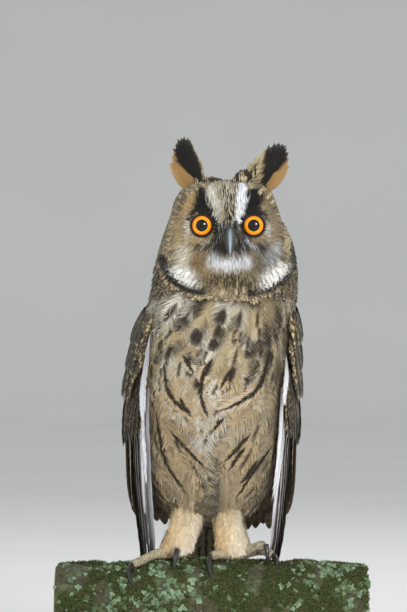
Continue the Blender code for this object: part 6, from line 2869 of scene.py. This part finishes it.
@dataclass(frozen=True)
class WoodFinish:
    """Dark oiled wood with fine grain along the stand."""

    dark: Colour = tone(48, 34, 24)
    light: Colour = tone(92, 64, 42)
    pore: Colour = tone(26, 18, 12)
    stretch: tuple[float, float, float] = (6.0, 90.0, 90.0)

    def build(self) -> bpy.types.Material:
        """Makes the material.

        Returns:
            The material.
        """
        material, wiring, shader = new_material("stand wood")
        place = wiring.stretched(self.stretch)
        grain, pores = wiring.noise(1.6, 6.0, place), wiring.noise(14.0, 2.0, place)
        colour = wiring.mix(wiring.ease(grain, 0.35, 0.65), self.dark, self.light)
        colour = wiring.mix(wiring.ease(pores, 0.58, 0.7, 0.5), colour, self.pore)
        rough = wiring.sum("MULTIPLY_ADD", grain, 0.2, 0.32)
        wiring.give(shader, Base_Color=colour, Roughness=rough, Coat_Weight=0.2)
        wiring.bump(shader, pores, 0.15, 0.0005)
        return material


@dataclass(frozen=True)
class BrassFinish:
    """Brushed brass with light wear."""

    metal: Colour = tone(196, 166, 112)
    worn: Colour = tone(120, 92, 56)
    stretch: tuple[float, float, float] = (60.0, 60.0, 2500.0)

    def build(self) -> bpy.types.Material:
        """Makes the material.

        Returns:
            The material.
        """
        material, wiring, shader = new_material("stand brass")
        brushed = wiring.noise(1.0, 3.0, wiring.stretched(self.stretch))
        colour = wiring.mix(wiring.ease(wiring.noise(240.0, 4.0), 0.5, 0.8, 0.5), self.metal, self.worn)
        rough = wiring.sum("MULTIPLY_ADD", brushed, 0.25, 0.22)
        wiring.give(shader, Base_Color=colour, Metallic=1.0, Roughness=rough)
        return material


@dataclass(frozen=True)
class SkinFinish:
    """Soft bare skin, with pores and folds, over the tint that its mesh carries."""

    name: str
    roughness: float = 0.6
    pore: Colour = tone(60, 52, 46)
    pore_scale: float = 1400.0

    def build(self) -> bpy.types.Material:
        """Makes the material.

        Returns:
            The material.
        """
        material, wiring, shader = new_material(self.name)
        pores = wiring.noise(self.pore_scale, 3.0)
        colour = wiring.mix(wiring.ease(pores, 0.4, 0.7, 0.35), wiring.attribute("tint", "Color"), self.pore)
        wiring.give(shader, Base_Color=colour, Roughness=self.roughness)
        wiring.bump(shader, pores, 0.4, 0.0003)
        return material


# The studio


Place = tuple[float, float, float]


@dataclass
class Studio:
    """A pale sweep of floor, soft light and the camera."""

    width: float = 28.0
    near: float = -14.0
    far: float = 6.0
    bend: float = 1.5
    height: float = 5.0
    camera_place: Place = (-0.0063, -2.5, 0.334)
    lens: float = 175.0
    aim: Place = (0.0, 0.0, 0.33)
    room: tuple[float, ...] = (0.82, 0.84, 0.86, 1.0)
    room_strength: float = 0.72
    lights: tuple[tuple[str, Place, float, float, Colour], ...] = (
        ("key", (0.70, -1.72, 0.86), 0.42, 25.0, (1.0, 0.98, 0.95)),
        ("fill", (-1.3, -1.5, 0.9), 1.6, 6.0, (0.95, 0.98, 1.0)),
        ("back", (0.4, 1.2, 1.7), 1.0, 12.0, (1.0, 1.0, 1.0)),
    )

    def build(self) -> None:
        """Makes the floor, the lights and the camera."""
        self._floor()
        for light in self.lights:
            self._light(*light)
        world = bpy.data.worlds.new("room")
        world.use_nodes = True
        world.node_tree.nodes["Background"].inputs[0].default_value = self.room
        world.node_tree.nodes["Background"].inputs[1].default_value = self.room_strength
        bpy.context.scene.world = world
        bpy.context.scene.view_settings.view_transform = "Standard"
        data = bpy.data.cameras.new("camera")
        data.lens = self.lens
        data.clip_end = 50.0
        camera = bpy.data.objects.new("camera", data)
        camera.location = self.camera_place
        camera.rotation_euler = (math.pi / 2, 0.0, 0.0)
        bpy.context.scene.collection.objects.link(camera)
        bpy.context.scene.camera = camera

    def _floor(self) -> None:
        """Makes the floor, which bends up into a wall behind."""
        turn = np.linspace(0, math.pi / 2, 24)
        line = [(self.near, 0.0)]
        line += [(self.far + self.bend * math.sin(t), self.bend * (1 - math.cos(t))) for t in turn]
        line.append((self.far + self.bend, self.height))
        count = len(line)
        points = [(side * self.width / 2, y, z) for side in (-1, 1) for y, z in line]
        faces = [(k, k + count, k + count + 1, k + 1) for k in range(count - 1)]
        mesh = bpy.data.meshes.new("floor")
        mesh.from_pydata(points, [], faces)
        mesh.shade_smooth()
        material, wiring, shader = new_material("floor")
        colour = wiring.mix(wiring.noise(3.0, 3.0), tone(226, 226, 224), tone(234, 234, 232))
        wiring.give(shader, Base_Color=colour, Roughness=0.85)
        mesh.materials.append(material)
        floor = bpy.data.objects.new("floor", mesh)
        bpy.context.scene.collection.objects.link(floor)

    def _light(self, name: str, place: Place, size: float, power: float, tint: Colour) -> None:
        """Makes a square light that faces the owl.

        Args:
            name: Its name.
            place: Where it stands.
            size: Its side.
            power: Its strength in watts.
            tint: Its colour.
        """
        data = bpy.data.lights.new(name, "AREA")
        data.energy, data.size, data.color = power, size, tint
        light = bpy.data.objects.new(name, data)
        light.location = place
        aim = Vector(self.aim) - Vector(place)
        light.rotation_euler = aim.to_track_quat("-Z", "Y").to_euler()
        bpy.context.scene.collection.objects.link(light)


LEGS = {
    Side.RIGHT: (
        (0.0060, -0.0305, -0.0070, 0.0120, 0.0095),
        (0.0130, -0.0290, -0.0060, 0.0138, 0.0112),
        (0.0210, -0.0250, -0.0030, 0.0136, 0.0120),
        (0.0320, -0.0200, 0.0010, 0.0124, 0.0125),
        (0.0450, -0.0170, 0.0050, 0.0130, 0.0140),
        (0.0600, -0.0185, 0.0090, 0.0150, 0.0150),
    ),
    Side.LEFT: (
        (0.0060, 0.0195, -0.0070, 0.0130, 0.0095),
        (0.0130, 0.0190, -0.0060, 0.0142, 0.0112),
        (0.0210, 0.0168, -0.0030, 0.0136, 0.0120),
        (0.0320, 0.0142, 0.0010, 0.0124, 0.0125),
        (0.0450, 0.0135, 0.0050, 0.0124, 0.0140),
        (0.0600, 0.0160, 0.0090, 0.0140, 0.0150),
    ),
}
ANKLES = {Side.RIGHT: (-0.0300, -3.0, 0.0050), Side.LEFT: (0.0205, -3.0, 0.0050)}
TOES = {
    Side.RIGHT: {
        "outer": ((-0.0450, 6, 0.0065), (-0.0570, 17, 0.0048), (-0.0655, 26, 0.0042)),
        "inner": ((-0.0295, 9, 0.0085), (-0.0287, 19, 0.0115)),
        "hind": ((-0.0260, -20, 0.0048), (-0.0230, -36, 0.0043)),
        "reversed": ((-0.0410, -11, 0.0052), (-0.0510, -21, 0.0043)),
    },
    Side.LEFT: {
        "inner": ((0.0110, 8, 0.0068), (0.0030, 16, 0.0070), (0.0002, 20, 0.0063)),
        "middle": ((0.0310, 4, 0.0105), (0.0400, 10, 0.0155), (0.0448, 13, 0.0168)),
        "outer": ((0.0340, -4, 0.0085), (0.0450, -2, 0.0090), (0.0515, 5, 0.0062)),
        "hind": ((0.0180, -20, 0.0048), (0.0160, -36, 0.0043)),
    },
}
HEMS = {
    Side.RIGHT: ((-0.0260, -0.0115), (-0.0400, -0.0150)),
    Side.LEFT: ((0.0060, 0.0195), (0.0062, 0.0300)),
}
CLAWS = {
    Side.RIGHT: {
        "outer": ((-0.0668, 29, 0.0041), (-0.0685, 39, 0.0042),
            (-0.0660, 51, 0.0028), (-0.0615, 61, 0.0013)),
        "inner": ((-0.0286, 21.5, 0.0115), (-0.0292, 27, 0.0090),
            (-0.0305, 31.5, 0.0050), (-0.0320, 35.5, 0.0013)),
        "hind": ((-0.0227, -39.5, 0.0043), (-0.0222, -49, 0.0044),
            (-0.0222, -58, 0.0030), (-0.0225, -66, 0.0013)),
        "reversed": ((-0.0532, -24, 0.0043), (-0.0562, -33, 0.0043),
            (-0.0572, -43, 0.0030), (-0.0570, -51, 0.0013)),
    },
    Side.LEFT: {
        "inner": ((-0.0012, 23, 0.0062), (-0.0020, 32, 0.0054),
            (-0.0006, 43, 0.0034), (0.0022, 54, 0.0013)),
        "middle": ((0.0462, 15.5, 0.0162), (0.0468, 19, 0.0118),
            (0.0466, 20, 0.0064), (0.0460, 19.5, 0.0013)),
        "outer": ((0.0530, 8, 0.0058), (0.0545, 15, 0.0052),
            (0.0548, 22, 0.0032), (0.0540, 29, 0.0013)),
        "hind": ((0.0157, -39.5, 0.0043), (0.0152, -49, 0.0044),
            (0.0152, -58, 0.0030), (0.0155, -66, 0.0013)),
    },
}
EAR_TUFTS = {
    Side.RIGHT: (
        (-0.0060, 0.3120), (-0.0180, 0.3085), (-0.0110, 0.3370), (-0.0250, 0.3550), (-0.0330, 0.3340),
        ((-9.0, 312.0, 2.6), (-11.0, 323.3, 4.4), (-16.0, 330.2, 7.2), (-21.2, 338.8, 8.8),
         (-24.4, 347.4, 8.2), (-26.0, 357.0, 7.6)),
    ),
    Side.LEFT: (
        (0.0300, 0.3110), (0.0460, 0.3080), (0.0330, 0.3340), (0.0600, 0.3500), (0.0640, 0.3320),
        ((43.0, 312.0, 2.4), (45.6, 319.8, 3.4), (47.8, 326.7, 5.8), (51.4, 333.6, 8.8),
         (55.0, 340.5, 9.8), (58.6, 350.0, 9.4)),
    ),
}


def dress_stand(frame: dict) -> None:
    """Gives the stand's own solids their wood and brass.

    Args:
        frame: The loaded frame.
    """
    wood, brass = WoodFinish().build(), BrassFinish().build()
    for name, node in frame["nodes"].items():
        if name.startswith("stand_"):
            node.material_slots[0].material = wood if name == "stand_base" else brass


def main() -> None:
    """Builds the owl, its branch, the stand's finishes and the studio."""
    logging.basicConfig(level=logging.INFO, format="%(message)s")
    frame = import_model()
    groups = FeatherGroups()
    body = PlumageFinish("body plumage").build(groups)
    face = PlumageFinish("face plumage", barb_depth=0.08, root_shade=0.30, tip_pale=0.08).build(groups)
    flight = PlumageFinish("flight feathers", barb_count=60.0, bar_count=7.0, bar_width=-0.1, root_shade=0.2,
                           tip_pale=0.1, roughness=0.6).build(groups)
    covert = PlumageFinish("coverts", mark=tone(17, 14, 11), bar=tone(30, 24, 18), bar_count=4.0,
                           speckle_scale=320.0, root_shade=0.42, tip_pale=0.12).build(groups)
    ear = PlumageFinish("ear plumage", mark=Tint.SOOT, root_shade=0.2, tip_pale=0.05).build(groups)
    leg = PlumageFinish("leg plumage", barb_depth=0.08, root_shade=0.30, tip_pale=0.25).build(groups)
    hide = Hide(Envelope(BODY_CUTS), FaceForm())
    lie, bough = Lie(), Bough()
    feet = tuple(Foot(side, bough, LEGS[side], ANKLES[side], TOES[side], CLAWS[side], hem=HEMS[side])
                 for side in Side)
    Skin(hide, feet, body).build()
    BodyCoat(hide, lie, BodyMarks(), body).build()
    HeadCoat(hide, lie, face).build()
    mantle = Envelope(MANTLE_CUTS)
    for side in Side:
        Wing(side, flight, covert, mantle, 6.0 if side is Side.LEFT else 0.0).build()
        EarTuft(side, ear, *EAR_TUFTS[side]).build()
        Eye(side, SkinFinish("lids").build()).build()
    Tail(flight, body).build()
    Bill(HornFinish("bill", 0.42).build()).build()
    horn = HornFinish("claws", 0.28).build()
    for foot in feet:
        foot.build_coat(leg)
        foot.build_claws(horn)
    Branch(bough).build()
    dress_stand(frame)
    Studio().build()


if __name__ == "__main__":
    main()
